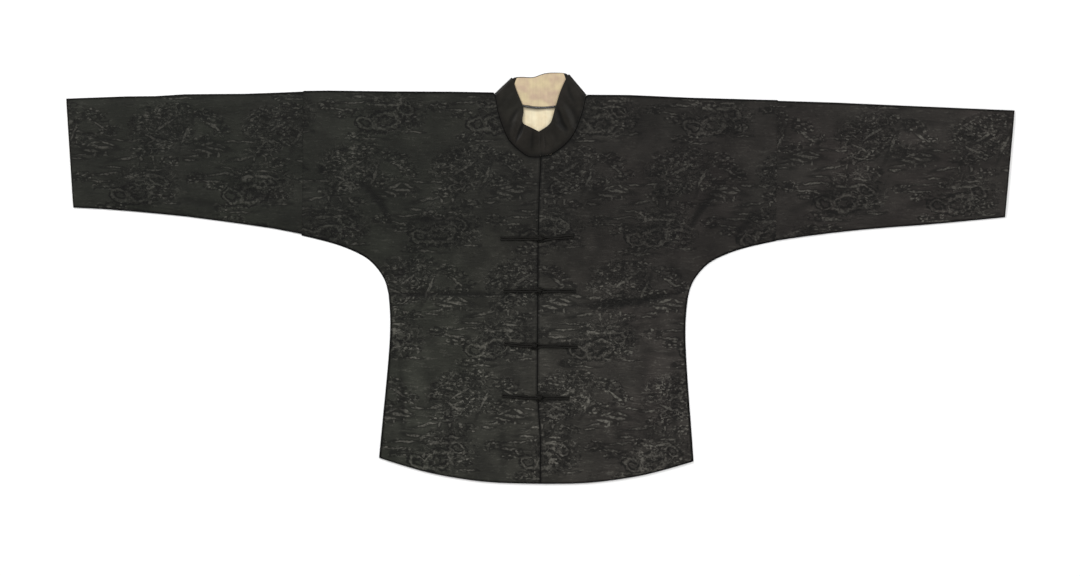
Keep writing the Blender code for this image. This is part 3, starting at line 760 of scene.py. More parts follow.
def weave_group():
    """Crossed threads of a fine silk, with slubs."""
    if "silk_weave" in bpy.data.node_groups:
        return bpy.data.node_groups["silk_weave"]
    graph, given, result = new_group(
        "silk_weave",
        {"Position": ("NodeSocketVector", None), "Thread": ("NodeSocketFloat", 0.4)},
        {"Height": "NodeSocketFloat", "Slub": "NodeSocketFloat"})
    place = graph.vector("SCALE", given["Position"], scale=1 / MM)
    x, y, _ = graph.split(place)
    turn = graph.math("DIVIDE", math.tau, given["Thread"])
    warp = graph.math("SINE", graph.times(x, turn))
    weft = graph.math("SINE", graph.times(y, turn))
    graph.feed(result["Height"], graph.fit(graph.times(warp, weft), 0.5, 0.5))
    stretched = graph.vector("MULTIPLY", given["Position"], (60.0, 1400.0, 1.0))
    graph.feed(result["Slub"], graph.noise(stretched, 1.0, 3.0)["Fac"])
    return graph.tree


def mottle_group():
    """Slow patches of tone, as in old silk."""
    if "cloth_mottle" in bpy.data.node_groups:
        return bpy.data.node_groups["cloth_mottle"]
    graph, given, result = new_group(
        "cloth_mottle",
        {"Position": ("NodeSocketVector", None), "Patch": ("NodeSocketFloat", 0.08)},
        {"Tone": "NodeSocketFloat", "Tint": "NodeSocketFloat"})
    per_metre = graph.math("DIVIDE", 1.0, given["Patch"])
    scaled = graph.vector("SCALE", given["Position"], scale=per_metre)
    graph.feed(result["Tone"], graph.noise(scaled, 1.0, 3.0, 0.6)["Fac"])
    moved = graph.vector("ADD", scaled, (31.0, 17.0, 5.0))
    graph.feed(result["Tint"], graph.noise(moved, 0.6, 2.0)["Fac"])
    return graph.tree


GROUPS = {
    "silk_landscape": landscape_group,
    "silk_weave": weave_group,
    "cloth_mottle": mottle_group,
}


def new_material(name, slot_colour, roughness, specular):
    """Material with a plain Principled shader; its graph and the shader."""
    material = bpy.data.materials.new(name)
    material.use_nodes = True
    material.diffuse_color = (*slot_colour, 1.0)
    graph = Graph(material.node_tree)
    shader = material.node_tree.nodes["Principled BSDF"]
    shader.inputs["Base Color"].default_value = (*slot_colour, 1.0)
    shader.inputs["Roughness"].default_value = roughness
    shader.inputs["Specular IOR Level"].default_value = specular
    return material, graph, shader


def position_of(graph):
    return graph.node("ShaderNodeTexCoord").outputs["Object"]


def attribute_of(graph, name):
    return graph.node("ShaderNodeAttribute", attribute_name=name).outputs["Fac"]


def bump_to(graph, shader, height, distance, strength=1.0):
    made = graph.node("ShaderNodeBump")
    made.inputs["Distance"].default_value = distance
    made.inputs["Strength"].default_value = strength
    graph.feed(made.inputs["Height"], height)
    graph.feed(shader.inputs["Normal"], made.outputs["Normal"])


def opaque(colour):
    return (*colour, 1.0)


def figured_silk(name):
    """Damask of one piece: matt ground, lighter threads in the figure, an opening ridge lightened
    as wear and painted highlight, and painted shade in creases and at edges.
    """
    colours = bpy.context.scene.jacket_colours
    material, graph, shader = new_material(name + "_cloth", colours.ground, 0.55, 0.10)
    place = position_of(graph)
    shift = (*PATTERN_SHIFT[name], 0.0)
    design = graph.group("silk_landscape", Position=place, Shift=shift)
    weave = graph.group("silk_weave", Position=place, Thread=0.45)
    mottle = graph.group("cloth_mottle", Position=place, Patch=0.075)
    across, up, _ = graph.split(place)
    # The silk has faded unevenly: olive on the right side, browner on the left. It is also lighter
    # below and towards the left cuff, in patches.
    faded = graph.mix(mottle["Tint"], opaque(colours.ground), OLIVE_FADE)
    browned = graph.mix(mottle["Tint"], opaque(colours.ground), BROWN_FADE)
    ground = graph.mix(graph.step(across, -0.3, 0.3), faded, browned)
    low = graph.fit(graph.step(up, 0.10, -0.15), 0.70, 0.95)
    cuffs = graph.fit(graph.step(across, 0.25, 0.6), 0.34, low)
    patches = graph.noise(place, 26.0, 2.0)["Fac"]
    patches = graph.fit(graph.step(patches, 0.32, 0.68), 0.30, 0.85)
    cuffs = graph.times(cuffs, patches)
    tone = graph.fit(mottle["Tone"], 0.9, 0.48)
    tone = graph.times(tone, cuffs)
    figure = graph.times(design["Light"], graph.fit(tone, 0.35, 0.5))
    colour = graph.mix(design["Shade"], ground, opaque(colours.shade))
    colour = graph.mix(figure, colour, opaque(colours.figure))
    slub = graph.step(weave["Slub"], 0.2, 0.8)
    slub = graph.fit(slub, 0.5, 0.75)
    bright = graph.times(tone, slub)
    colour = graph.toned(colour, bright)
    # The opening's ridge is lightened, partly as wear and partly as a painted highlight.
    wear_and_highlight = attribute_of(graph, "wear_and_highlight")
    colour = graph.mix(graph.times(wear_and_highlight, 0.12), colour, opaque(colours.figure))
    # Painted shade in the creases, along the opening and beside the collar seam.
    hollow_shade = graph.times(attribute_of(graph, "hollow_shade"), 0.75, clamp=True)
    colour = graph.mix(hollow_shade, colour, opaque(colours.shade))
    # Painted shade on the turned-down edges and the sleeve folds.
    colour = graph.mix(attribute_of(graph, "edge_shade"), colour, DEEP_SHADE)
    graph.feed(shader.inputs["Base Color"], colour)
    rough = graph.fit(design["Light"], -0.16, 0.58)
    rough = graph.fit(attribute_of(graph, "edge_shade"), 0.35, rough, clamp=True)
    graph.feed(shader.inputs["Roughness"], rough)
    height = graph.fit(weave["Height"], 0.25, design["Height"])
    height = graph.fit(weave["Slub"], 0.5, height)
    bump_to(graph, shader, height, 0.00018, 0.8)
    return material


def collar_satin():
    """Plain black satin, faded unevenly, with painted shade in its folds, beside its seam and
    along its rim.
    """
    colours = bpy.context.scene.jacket_colours
    material, graph, shader = new_material("satin_cloth", colours.satin, 0.34, 0.10)
    place = position_of(graph)
    weave = graph.group("silk_weave", Position=place, Thread=0.35)
    mottle = graph.group("cloth_mottle", Position=place, Patch=0.028)
    colour = graph.mix(mottle["Tint"], opaque(colours.satin), SATIN_FADE)
    tone = graph.fit(mottle["Tone"], 1.4, 0.3)
    tone = graph.times(tone, graph.fit(weave["Slub"], 0.4, 0.8))
    colour = graph.toned(colour, tone)
    # Painted shade in the creases, beside the neck seam and on the rim.
    hollow_shade = graph.times(attribute_of(graph, "hollow_shade"), 0.8, clamp=True)
    hollow_shade = graph.math("MAXIMUM", hollow_shade, attribute_of(graph, "edge_shade"))
    colour = graph.mix(hollow_shade, colour, DEEP_SHADE)
    graph.feed(shader.inputs["Base Color"], colour)
    graph.feed(shader.inputs["Roughness"], graph.fit(mottle["Tone"], 0.2, 0.26))
    height = graph.fit(weave["Height"], 0.3, weave["Slub"])
    bump_to(graph, shader, height, 0.00008, 0.7)
    return material


def lining_silk(name, colour, stain):
    """Matt cream silk with soft ribs, a stain of age and a dark seam."""
    material, graph, shader = new_material(name, colour, 0.6, 0.3)
    place = position_of(graph)
    weave = graph.group("silk_weave", Position=place, Thread=0.5)
    mottle = graph.group("cloth_mottle", Position=place, Patch=0.012)
    tint = graph.mix(graph.step(mottle["Tint"], 0.35, 0.7), opaque(colour), stain)
    tone = graph.fit(mottle["Tone"], 0.35, 0.82)
    stripes = graph.vector("MULTIPLY", place, (520.0, 18.0, 1.0))
    ribs = graph.fit(graph.noise(stripes, 1.0, 2.0)["Fac"], 0.22, 0.89)
    tone = graph.times(tone, ribs)
    colour = graph.toned(tint, tone)
    colour = graph.mix(attribute_of(graph, "seam"), colour, SEAM_PIPING)
    graph.feed(shader.inputs["Base Color"], colour)
    graph.feed(shader.inputs["Roughness"], graph.fit(mottle["Tone"], 0.2, 0.5))
    height = graph.fit(weave["Height"], 0.4, ribs)
    bump_to(graph, shader, height, 0.0001, 0.8)
    return material


def frog_cord():
    """Bias-cut satin rolled into a cord: its UV map runs round and along the strand."""
    colours = bpy.context.scene.jacket_colours
    material, graph, shader = new_material("cord_satin", colours.cord, 0.5, 0.08)
    along = graph.node("ShaderNodeUVMap", uv_map="strand").outputs["UV"]
    u, v, _ = graph.split(along)
    turns = graph.fit(v, CORD_TURNS, u)
    ridges = graph.math("SINE", graph.times(turns, math.tau))
    ridges = graph.fit(ridges, 0.5, 0.5)
    mottle = graph.group("cloth_mottle", Position=position_of(graph), Patch=0.006)
    tone = graph.fit(mottle["Tone"], 1.0, 0.5)
    # Painted shade in the grooves between the ridges of the twist.
    colour = graph.mix(ridges, CORD_GROOVE_SHADE, opaque(colours.cord))
    colour = graph.toned(colour, tone)
    graph.feed(shader.inputs["Base Color"], colour)
    graph.feed(shader.inputs["Roughness"], graph.fit(mottle["Tone"], 0.2, 0.42))
    bump_to(graph, shader, ridges, 0.0002, 0.7)
    return material


def cloth_material(name, make):
    return bpy.data.materials.get(name) or make()


def inner_lining():
    return cloth_material("inner_lining", lambda: lining_silk(
        "inner_lining", INNER_CREAM, INNER_STAIN))


# ----------------------------------------------------------------------------- flat cut sheets


def upper_outline(node):
    """Outline of a sheet's upper face, in order, in millimetres."""
    shape = node_shape(node)
    beside = {}
    for edge in shape.edges:
        upward = [face for face in edge.link_faces if face.normal.z > 0.2]
        if len(upward) == 1:
            first, last = (tuple(vert.co.xy / MM) for vert in edge.verts)
            beside.setdefault(first, []).append(last)
            beside.setdefault(last, []).append(first)
    shape.free()
    start = min(beside)
    loop, before, here = [start], None, start
    while True:
        before, here = here, next(p for p in beside[here] if p != before)
        if here == start:
            return loop
        loop.append(here)


def run_between(loop, start, end):
    """The shorter way round an outline between the points nearest to two corners."""
    def nearest(corner):
        return min(range(len(loop)), key=lambda i: math.dist(loop[i], corner))

    i, j = nearest(start), nearest(end)
    forward = [loop[k % len(loop)] for k in range(i, (j if j > i else j + len(loop)) + 1)]
    backward = [loop[k % len(loop)] for k in range(j, (i if i > j else i + len(loop)) + 1)]
    ways = (forward, list(reversed(backward)))
    return min(ways, key=lambda way: sum(math.dist(p, q) for p, q in zip(way, way[1:])))


def as_function(pairs):
    keys, values = np.array(sorted(pairs)).T
    return lambda key: np.interp(key, keys, values)


def evened(run, rounds=3):
    """A run of outline points with twice as many points each round, its bends rounded."""
    for _ in range(rounds):
        finer = [run[0]]
        for p, q in zip(run, run[1:]):
            for share in (0.25, 0.75):
                finer.append(tuple(a + share * (b - a) for a, b in zip(p, q)))
        run = finer + [run[-1]]
    return run


class Cut:
    """Outline of one half of the body, as functions of the distance from its middle line."""

    def __init__(self, node, side, middle_hem, middle_neck, opens):
        loop = upper_outline(node)
        corners = {
            "hem": middle_hem, "neck": middle_neck,
            "shoulder": (side * NECK_SIDE[0], NECK_SIDE[1]),
            "join_top": (side * SLEEVE_JOIN[0], SLEEVE_JOIN[1]),
            "join_low": (side * SLEEVE_JOIN[0], SLEEVE_JOIN[2]),
            "corner": (side * HEM_CORNER[0], HEM_CORNER[1])}
        names = list(corners)
        runs = {}
        for first, last in zip(names, names[1:] + names[:1]):
            runs[first] = run_between(loop, corners[first], corners[last])
        self.side = side
        middle_line = [(y, x) for x, y in runs["hem"]] if opens else [(middle_hem[1], 0.0)] * 2
        self.edge = as_function(middle_line)
        under = evened([(side * x, y) for x, y in runs["join_low"]])
        self.neck = as_function([(self.from_edge(x, y), y) for x, y in runs["neck"]])
        self.shoulder = as_function([(side * x, y) for x, y in runs["shoulder"]])
        self.under = as_function([(x, y) for x, y in under if y > CHEST_Y])
        self.side_seam = as_function([(y, x) for x, y in under if y < CHEST_Y + 2])
        self.hem = as_function([(self.from_edge(x, y), y) for x, y in evened(runs["corner"])])
        self.chest = float(self.side_seam(CHEST_Y))
        self.corner = side * runs["corner"][0][0]
        self.neck_side = side * runs["shoulder"][0][0]
        self.join = side * runs["join_top"][0][0]

    def from_edge(self, x, y):
        """Distance from the opening of a point near it, with the opening's waver taken out."""
        edge = float(self.edge(y))
        far = self.side * (x - edge) / (1 - self.side * edge / OPENING_REACH)
        return far if far < OPENING_REACH else self.side * x

    def point(self, far, y):
        share = max(1.0 - far / OPENING_REACH, 0.0)
        return (self.side * far + float(self.edge(y)) * share, y)

    def columns(self):
        """Distances from the middle line, close together at the opening."""
        marks = list(OPENING_COLUMNS)
        for start, end, pitch in ((marks[-1], self.neck_side, NECK_PITCH),
                                  (self.neck_side, self.chest, BODY_PITCH),
                                  (self.chest, self.join, BODY_PITCH)):
            count = round((end - start) / pitch)
            marks += [start + (end - start) * k / count for k in range(1, count + 1)]
        return marks

    def shape(self, height):
        """Sheet of the whole half, at one height."""
        shape = bmesh.new()
        columns = self.columns()
        rows = []
        for step in range(BODY_ROWS + 1):
            row = []
            for far in columns:
                if far > self.chest + 0.001:
                    break
                low = float(self.hem(far / self.chest * self.corner))
                y = low + step / BODY_ROWS * (CHEST_Y - low)
                row.append(self.point(far / self.chest * float(self.side_seam(y)), y))
            rows.append(row)
        grid_of(shape, rows, height)
        rows = []
        for step in range(UPPER_ROWS + 1):
            row = []
            for far in columns:
                on_neck = far <= self.neck_side
                high = float(self.neck(far) if on_neck else self.shoulder(far))
                low = CHEST_Y if far <= self.chest + 0.001 else float(self.under(far))
                row.append(self.point(far, low + step / UPPER_ROWS * (high - low)))
            rows.append(row)
        grid_of(shape, rows, height)
        bmesh.ops.remove_doubles(shape, verts=shape.verts, dist=0.00005)
        return shape


def grid_of(shape, rows, height):
    """Quads between rows of points in millimetres."""
    verts = [[shape.verts.new((x * MM, y * MM, height * MM)) for x, y in row] for row in rows]
    for low, high in zip(verts, verts[1:]):
        for a, b, c, d in zip(low, low[1:], high[1:], high):
            shape.faces.new((a, b, c, d))


# ------------------------------------------------------------------------------------ fronts


def front_edges(shape):
    """Open edges of a front, sorted into opening, neck, sleeve join, hem and closed edges."""
    sorted_edges = {"opening": [], "neck": [], "join": [], "hem": [], "closed": []}
    for edge in shape.edges:
        if not edge.is_boundary:
            continue
        middle = (edge.verts[0].co + edge.verts[1].co) / 2 / MM
        along = (edge.verts[1].co - edge.verts[0].co).normalized()
        x, y = abs(middle.x), middle.y
        if x > SLEEVE_JOIN[0] - 0.8 and abs(along.x) < 0.5:
            kind = "join"
        elif x < OPENING_HALF_WIDTH and y < NECK_LOW_Y + 3 and abs(along.x) < 0.7:
            kind = "opening"
        elif x < NECK_SIDE[0] + 0.5 and y > NECK_LOW_Y - 2:
            kind = "neck"
        elif y < HEM_CORNER[1] + 0.5 and abs(along.x) > 0.5:
            kind = "hem"
        else:
            kind = "closed"
        sorted_edges[kind].append(edge)
    return sorted_edges


def edge_points(shape, kind):
    return [vert.co.copy() for edge in front_edges(shape)[kind] for vert in edge.verts]


def press_opening(piece, cut):
    """Press the opening's edge into a ridge, lightened partly as wear and partly as a painted
    highlight, with painted shade in the groove at the edge.
    """
    points = read_points(piece.data)
    flat = points / MM
    far = (flat[:, 0] - cut.edge(flat[:, 1])) * cut.side
    below_neck = flat[:, 1] < NECK_LOW_Y
    ridge = np.exp(-((far - 4.6) / 1.4) ** 2) * below_neck
    groove = np.exp(-(far / 1.5) ** 2) * below_neck
    points[:, 2] += (0.28 * ridge - 0.25 * groove) * frog_share(flat) * MM
    write_points(piece.data, points)
    uneven = 0.6 + 0.4 * np.sin(flat[:, 1] / 17.0 + cut.side) * np.sin(flat[:, 1] / 41.0)
    # The ridge is lightened, partly as wear and partly as a painted highlight.
    mark(piece, "wear_and_highlight", ridge * uneven)
    # Painted shade in the groove at the opening's edge.
    mark(piece, "hollow_shade", np.exp(-(far / 2.6) ** 2) * below_neck * (0.6 + 0.4 * uneven))


def make_front(name, node, side, seed):
    """One front: a sheet raised over the back, creased, with every edge turned down."""
    cloth = bpy.context.scene.jacket_cloth
    cut = Cut(node, side, MIDDLE_HEM, MIDDLE_NECK, opens=True)
    shape = cut.shape(EDGE_HEIGHT)
    outline, hem, neck = (edge_points(shape, kind) for kind in ("closed", "hem", "neck"))
    piece = new_piece(name, shape, figured_silk(name), inner_lining())
    points = read_points(piece.data)
    share = edge_share(piece, outline, EDGE_REACH) * edge_share(piece, hem, HEM_REACH)
    points[:, 2] += share * (FRONT_HEIGHT - EDGE_HEIGHT) * MM
    write_points(piece.data, points)
    lie_unevenly(piece, share * frog_share(points / MM), CREASES, seed)
    press_opening(piece, cut)
    # Painted shade along the neck edge, under the collar.
    mark(piece, "hollow_shade", 0.9 * (1.0 - edge_share(piece, neck, NECK_REACH)))
    shape = bmesh.new()
    shape.from_mesh(piece.data)
    shape.verts.layers.float.new("edge_shade")
    edges = front_edges(shape)
    # Painted shade on the turned-down edges, light at the sleeve join.
    turn_edge(shape, edges["join"], JOIN_TURN, 0.2)
    turn_edge(shape, edges["neck"], NECK_TURN, 1.0)
    turn_edge(shape, edges["opening"], OPEN_TURN, 0.9)
    turn_edge(shape, edges["hem"], OPEN_TURN, 1.0)
    turn_edge(shape, edges["closed"], CLOSED_TURN, 1.0)
    steady_order(shape)
    bmesh.ops.recalc_face_normals(shape, faces=shape.faces)
    upward(shape)
    shape.to_mesh(piece.data)
    shape.free()
    finish_sheet(piece, [node], cloth.wall)
    return piece


def steady_order(shape):
    """Sort edges and faces by their points, because extruding leaves them in a chance order."""
    shape.verts.index_update()
    count = len(shape.verts)

    def place(part):
        numbers = sorted(vert.index for vert in part.verts)
        return numbers[0] * count + numbers[-1] + sum(numbers) / (4 * count)

    for parts in (shape.edges, shape.faces):
        parts.sort(key=place)
        parts.index_update()


def upward(shape):
    """Turn a sheet over if its widest part looks down."""
    shape.normal_update()
    if sum(face.normal.z * face.calc_area() for face in shape.faces) < 0:
        bmesh.ops.reverse_faces(shape, faces=shape.faces)


# ------------------------------------------------------------------------------------ sleeves


def fold_line(node, high):
    """Fold of a sleeve tube along its upper or lower edge, as a function of the distance out."""
    points = [vert.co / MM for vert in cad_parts[node].data.vertices]
    points = [p for p in points if abs(p.z - SLEEVE_MIDDLE_Z) < 0.2
              and (p.y > SLEEVE_MIDDLE_Y) == high]
    best = {}
    for p in points:
        key = round(abs(p.x))
        if key not in best or (p.y > best[key][1]) == high:
            best[key] = (abs(p.x), p.y)

    def beaten(key):
        return any(
            other != key and abs(key - other) < FOLD_SPACING
            and (best[other][1] > best[key][1]) == high for other in best)

    chosen = [best[key] for key in sorted(best) if not beaten(key)]
    return as_function(chosen), chosen[0][0], chosen[-1][0]


def fold_arc(middle, out, radius, angles):
    """Points round a fold: x, y, height and painted edge shade."""
    return [(*(middle + out * radius * math.cos(turn)), radius + radius * math.sin(turn), 1.0)
            for turn in (math.radians(angle) for angle in angles)]


def make_sleeve(name, node, side, seed):
    """Tube of one sleeve, folded flat, with its underside on the ground."""
    cloth = bpy.context.scene.jacket_cloth
    low_y, start, low_end = fold_line(node, False)
    high_y, _, high_end = fold_line(node, True)
    start -= 0.2
    radius = SLEEVE_MIDDLE_Z
    shape = bmesh.new()
    layer = shape.verts.layers.float.new("edge_shade")
    rings = []
    for station in range(SLEEVE_STATIONS + 1):
        share = station / SLEEVE_STATIONS
        low_x = start + share * (low_end - start)
        high_x = start + share * (high_end - start)
        low = Vector((low_x, float(low_y(low_x))))
        high = Vector((high_x, float(high_y(high_x))))
        up = (high - low).normalized()
        inner_low, inner_high = low + up * radius, high - up * radius
        ring = [(*inner_low.lerp(inner_high, k / SLEEVE_ACROSS), 2 * radius, 0.0)
                for k in range(SLEEVE_ACROSS + 1)]
        ring += fold_arc(inner_high, up, radius, FOLD_ANGLES)
        ring += [(*inner_low.lerp(inner_high, k / SLEEVE_UNDERSIDE), 0.0, 0.0)
                 for k in range(SLEEVE_UNDERSIDE, -1, -1)]
        ring += fold_arc(inner_low, -up, radius, reversed(FOLD_ANGLES))
        made = []
        for x, y, z, shade in ring:
            vert = shape.verts.new((side * x * MM, y * MM, z * MM))
            vert[layer] = shade
            made.append(vert)
        # Painted shade beside the folds and all round the cuff's end.
        made[0][layer] = made[SLEEVE_ACROSS][layer] = 0.8
        if station == SLEEVE_STATIONS:
            for vert in made:
                vert[layer] = 1.0
        rings.append(made)
    for low, high in zip(rings, rings[1:]):
        for k in range(len(low)):
            after = (k + 1) % len(low)
            shape.faces.new((low[k], low[after], high[after], high[k]))
    bmesh.ops.recalc_face_normals(shape, faces=shape.faces)
    highest = max(shape.faces, key=lambda face: face.calc_center_median().z)
    if highest.normal.z < 0:
        bmesh.ops.reverse_faces(shape, faces=shape.faces)
    folds = [vert.co.copy() for vert in shape.verts if abs(vert.co.z / MM - radius) < 0.1]
    piece = new_piece(name, shape, figured_silk(name), inner_lining())
    points = read_points(piece.data)
    upper = points[:, 2] > 1.9 * radius * MM
    cuff = 1.0 - 0.6 * smooth_step((np.abs(points[:, 0]) / MM - CUFF_X) / CUFF_REACH)
    share = upper * edge_share(piece, folds, EDGE_REACH)
    points[:, 2] += share * (FRONT_HEIGHT - 2 * radius) * MM
    near_join = np.exp(-((np.abs(points[:, 0]) / MM - start) / 1.6) ** 2)
    points[:, 2] -= share * near_join * 0.2 * MM
    write_points(piece.data, points)
    lie_unevenly(piece, share * cuff, CREASES, seed)
    finish_sheet(piece, [node], cloth.wall)
    return piece


# --------------------------------------------------------------------------------------- back


def make_back():
    """One flat width of cloth: its outer face is the underside."""
    cloth = bpy.context.scene.jacket_cloth
    shape = bmesh.new()
    for side in (1, -1):
        cut = Cut("back", side, (0.0, MIDDLE_HEM[1]), (0.0, BACK_NECK_Y), opens=False)
        add_shape(shape, cut.shape(0.0))
    bmesh.ops.remove_doubles(shape, verts=shape.verts, dist=0.0002)
    shape.normal_update()
    bmesh.ops.reverse_faces(shape, faces=[face for face in shape.faces if face.normal.z > 0])
    edges = [edge for edge in shape.edges if edge.is_boundary]
    steps = outward_steps(edges)
    outline = {vert: vert.co.copy() for vert in steps}
    for vert, out in steps.items():
        near_neck = abs(vert.co.x) < 95 * MM and vert.co.y > 0.28
        if not near_neck and abs(vert.co.x) < (SLEEVE_JOIN[0] - 1.0) * MM:
            vert.co -= out * 1.2 * MM
    shape.normal_update()
    for face in shape.faces:
        if face.normal.z > 0:
            for vert in face.verts:
                vert.co = outline.get(vert, vert.co)
    piece = new_piece("silk_back", shape, figured_silk("silk_back"), inner_lining())
    share = edge_share(piece, list(outline.values()), BACK_REACH)
    points = read_points(piece.data)
    lift = np.maximum(crease_heights(points / MM, BACK_CREASES), 0.0)
    points[:, 2] += lift * share * cloth.crease_depth * MM
    write_points(piece.data, points)
    finish_sheet(piece, ["back"], cloth.wall)
    return piece


# -------------------------------------------------------------------------------------- collar


def band_piece(name, node, material, levels, sharpness):
    """Smooth closed copy of a stiffened band or lining, its rim kept tight."""
    shape = node_shape(node)
    join_quads(shape)
    layer = shape.edges.layers.float.new("crease_edge")
    for edge in shape.edges:
        if len(edge.link_faces) == 2 and edge.calc_face_angle(0.0) > math.radians(50):
            edge[layer] = sharpness
    piece = new_piece(name, shape, material)
    apply_modifier(piece, "SUBSURF", levels=levels, render_levels=levels)
    return piece


COLLAR_ENDS = ((0.8, 205.4), (-1.7, 247.3))     # foot and top of the line where the ends meet
END_GAP = 0.9
COLLAR_CREASES = (
    (-28.0, 262.0, -40.5, 230.5, 2.8, -1.30, 0.5),
    (-39.0, 270.0, -46.0, 234.0, 4.5, 0.90, 0.0),
    (-52.0, 262.0, -36.0, 286.0, 4.0, -0.40, 1.0),
    (-60.0, 284.0, -44.0, 312.0, 5.0, 0.40, -1.0),
    (37.0, 293.0, 56.0, 249.0, 6.0, 1.10, 0.0),
    (27.0, 288.0, 44.0, 244.0, 5.0, -0.60, 0.0),
    (58.0, 296.0, 46.0, 326.0, 4.0, -0.35, 2.0),
    (24.0, 262.0, 52.0, 250.0, 4.0, -0.40, 1.0),
    (10.0, 248.0, 24.0, 222.0, 5.0, 0.40, 1.0),
    (4.5, 246.0, 5.5, 208.0, 2.0, 0.45, 0.0),
    (-12.0, 250.0, -14.0, 214.0, 4.0, -0.35, 0.0),
)


def make_collar():
    """Folded band of satin, creased, its two ends meeting at the centre front."""
    material = cloth_material("satin_cloth", collar_satin)
    piece = band_piece("satin_collar", "collar", material, 3, 0.65)
    points = read_points(piece.data)
    normals = np.empty(len(points) * 3)
    piece.data.vertices.foreach_get("normal", normals)
    normals = normals.reshape(-1, 3)
    flat = points / MM
    upper = smooth_step((flat[:, 2] - 3.0) / 1.5) * (normals[:, 2] > 0)
    height = crease_heights(flat, COLLAR_CREASES)
    points[:, 2] += height * upper * MM
    # The two ends meet at the centre front.
    low, high = (Vector(end) for end in COLLAR_ENDS)
    along = (high - low).normalized()
    away = (flat[:, 0] - low.x) * along.y - (flat[:, 1] - low.y) * along.x
    at_end = (np.abs(away) < 2.0) & (flat[:, 1] < high.y + 2.0)
    points[:, 0] -= np.sign(away) * at_end * np.exp(-(away / 1.4) ** 2) * END_GAP * MM
    write_points(piece.data, points)
    # Painted shade in the troughs of the collar's creases.
    mark(piece, "hollow_shade", np.clip(-height / DARKEST_TROUGH, 0.0, 1.0) * upper)
    # Painted shade beside the seam where the collar meets the fronts.
    seam = edge_share(piece, edge_points_of("silk_front_left", "silk_front_right"), 8.0)
    mark(piece, "hollow_shade", 0.8 * (1.0 - seam) * (flat[:, 2] > 3.0))
    # Painted shade on the steep rim of the collar, where its faces turn away from the light above.
    shade = piece.data.attributes.new("edge_shade", "FLOAT", "POINT")
    rim = 1.0 - smooth_step(np.abs(normals[:, 2]) / 0.75)
    shade.data.foreach_set("value", (rim * 0.9).astype(np.float32))
    hang(piece, ["collar"])
    return piece


def edge_points_of(*names):
    """Points of the fronts' neck edges."""
    found = []
    for name in names:
        for vert in bpy.data.objects[name].data.vertices:
            x, y, _ = vert.co / MM
            if y > NECK_LOW_Y - 1.0 and math.hypot(x, y - NECK_SIDE[1] + 20) < NECK_SIDE[0] + 14:
                found.append(vert.co.copy())
    return found


LINING_CREASES = (
    (-30.0, 292.0, -24.0, 336.0, 3.0, -0.30, 2.0),
    (-12.0, 290.0, -6.0, 338.0, 3.5, 0.25, -2.0),
    (8.0, 290.0, 14.0, 342.0, 3.0, -0.25, 1.0),
    (26.0, 294.0, 24.0, 340.0, 3.5, 0.25, 2.0),
    (-18.0, 280.0, -14.0, 240.0, 3.0, -0.25, 1.0),
    (2.0, 284.0, 4.0, 236.0, 3.5, 0.22, -1.0),
    (20.0, 282.0, 16.0, 238.0, 3.0, -0.25, 1.0),
)


def make_lining(name, node, colour, stain):
    material = cloth_material(name, lambda: lining_silk(name, colour, stain))
    piece = band_piece(name, node, material, 3, 0.7)
    points = read_points(piece.data)
    middle = (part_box(node)[0].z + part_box(node)[1].z) / 2
    flat = points / MM
    points[:, 2] += crease_heights(flat, LINING_CREASES) * (points[:, 2] > middle) * MM
    write_points(piece.data, points)
    seam_y = BACK_NECK_Y + (NECK_SIDE[1] - BACK_NECK_Y) * (flat[:, 0] / NECK_SIDE[0]) ** 2
    mark(piece, "seam", smooth_step((2.6 - np.abs(flat[:, 1] - seam_y)) / 1.0))
    hang(piece, [node])
    return piece


# --------------------------------------------------------------------------------------- frogs


def tube_shape(lines, radius, sides):
    """Round tubes along lines of points, closed at both ends or, for a ring, on themselves.

    Each line is (points, ring).  The UV map runs once round and on along the strand in metres.
    """
    shape = bmesh.new()
    uv = shape.loops.layers.uv.new("strand")
    for points, ring in lines:
        count = len(points)
        normal = Vector((0.0, 0.0, 1.0))
        rings, distances = [], [0.0]
        for index, point in enumerate(points):
            before = points[index - 1] if ring or index else point
            after = points[(index + 1) % count] if ring or index < count - 1 else point
            along = (after - before).normalized()
            normal = (normal - along * normal.dot(along)).normalized()
            across = along.cross(normal)
            turns = (math.tau * k / sides for k in range(sides))
            rings.append([shape.verts.new(
                point + radius * (normal * math.cos(turn) + across * math.sin(turn)))
                for turn in turns])
            distances.append(distances[-1] + (points[(index + 1) % count] - point).length)
        pairs = list(zip(range(count), range(1, count + 1)))
        for a, b in pairs if ring else pairs[:-1]:
            low, high = rings[a], rings[b % count]
            turn = 0 if b < count or not ring else closest_turn(low, high)
            for k in range(sides):
                corners = (low[k], low[(k + 1) % sides],
                           high[(k + 1 + turn) % sides], high[(k + turn) % sides])
                face = shape.faces.new(corners)
                shares = ((k, a), (k + 1, a), (k + 1, b), (k, b))
                for loop, (round_it, station) in zip(face.loops, shares):
                    loop[uv].uv = (round_it / sides, distances[station])
        if not ring:
            ends = ((rings[0], points[0] - points[1]), (rings[-1], points[-1] - points[-2]))
            for end, out in ends:
                middle = sum((vert.co for vert in end), Vector()) / sides
                tip = middle + out.normalized() * radius * TIP_LENGTH
                cap = shape.verts.new(tip)
                for k in range(sides):
                    shape.faces.new((end[k], end[(k + 1) % sides], cap))
    bmesh.ops.recalc_face_normals(shape, faces=shape.faces)
    return shape


def closest_turn(low, high):
    """By how many sides a ring has turned against another."""
    sides = len(low)
    return min(range(sides), key=lambda turn: sum(
        (low[k].co - high[(k + turn) % sides].co).length for k in range(sides)))


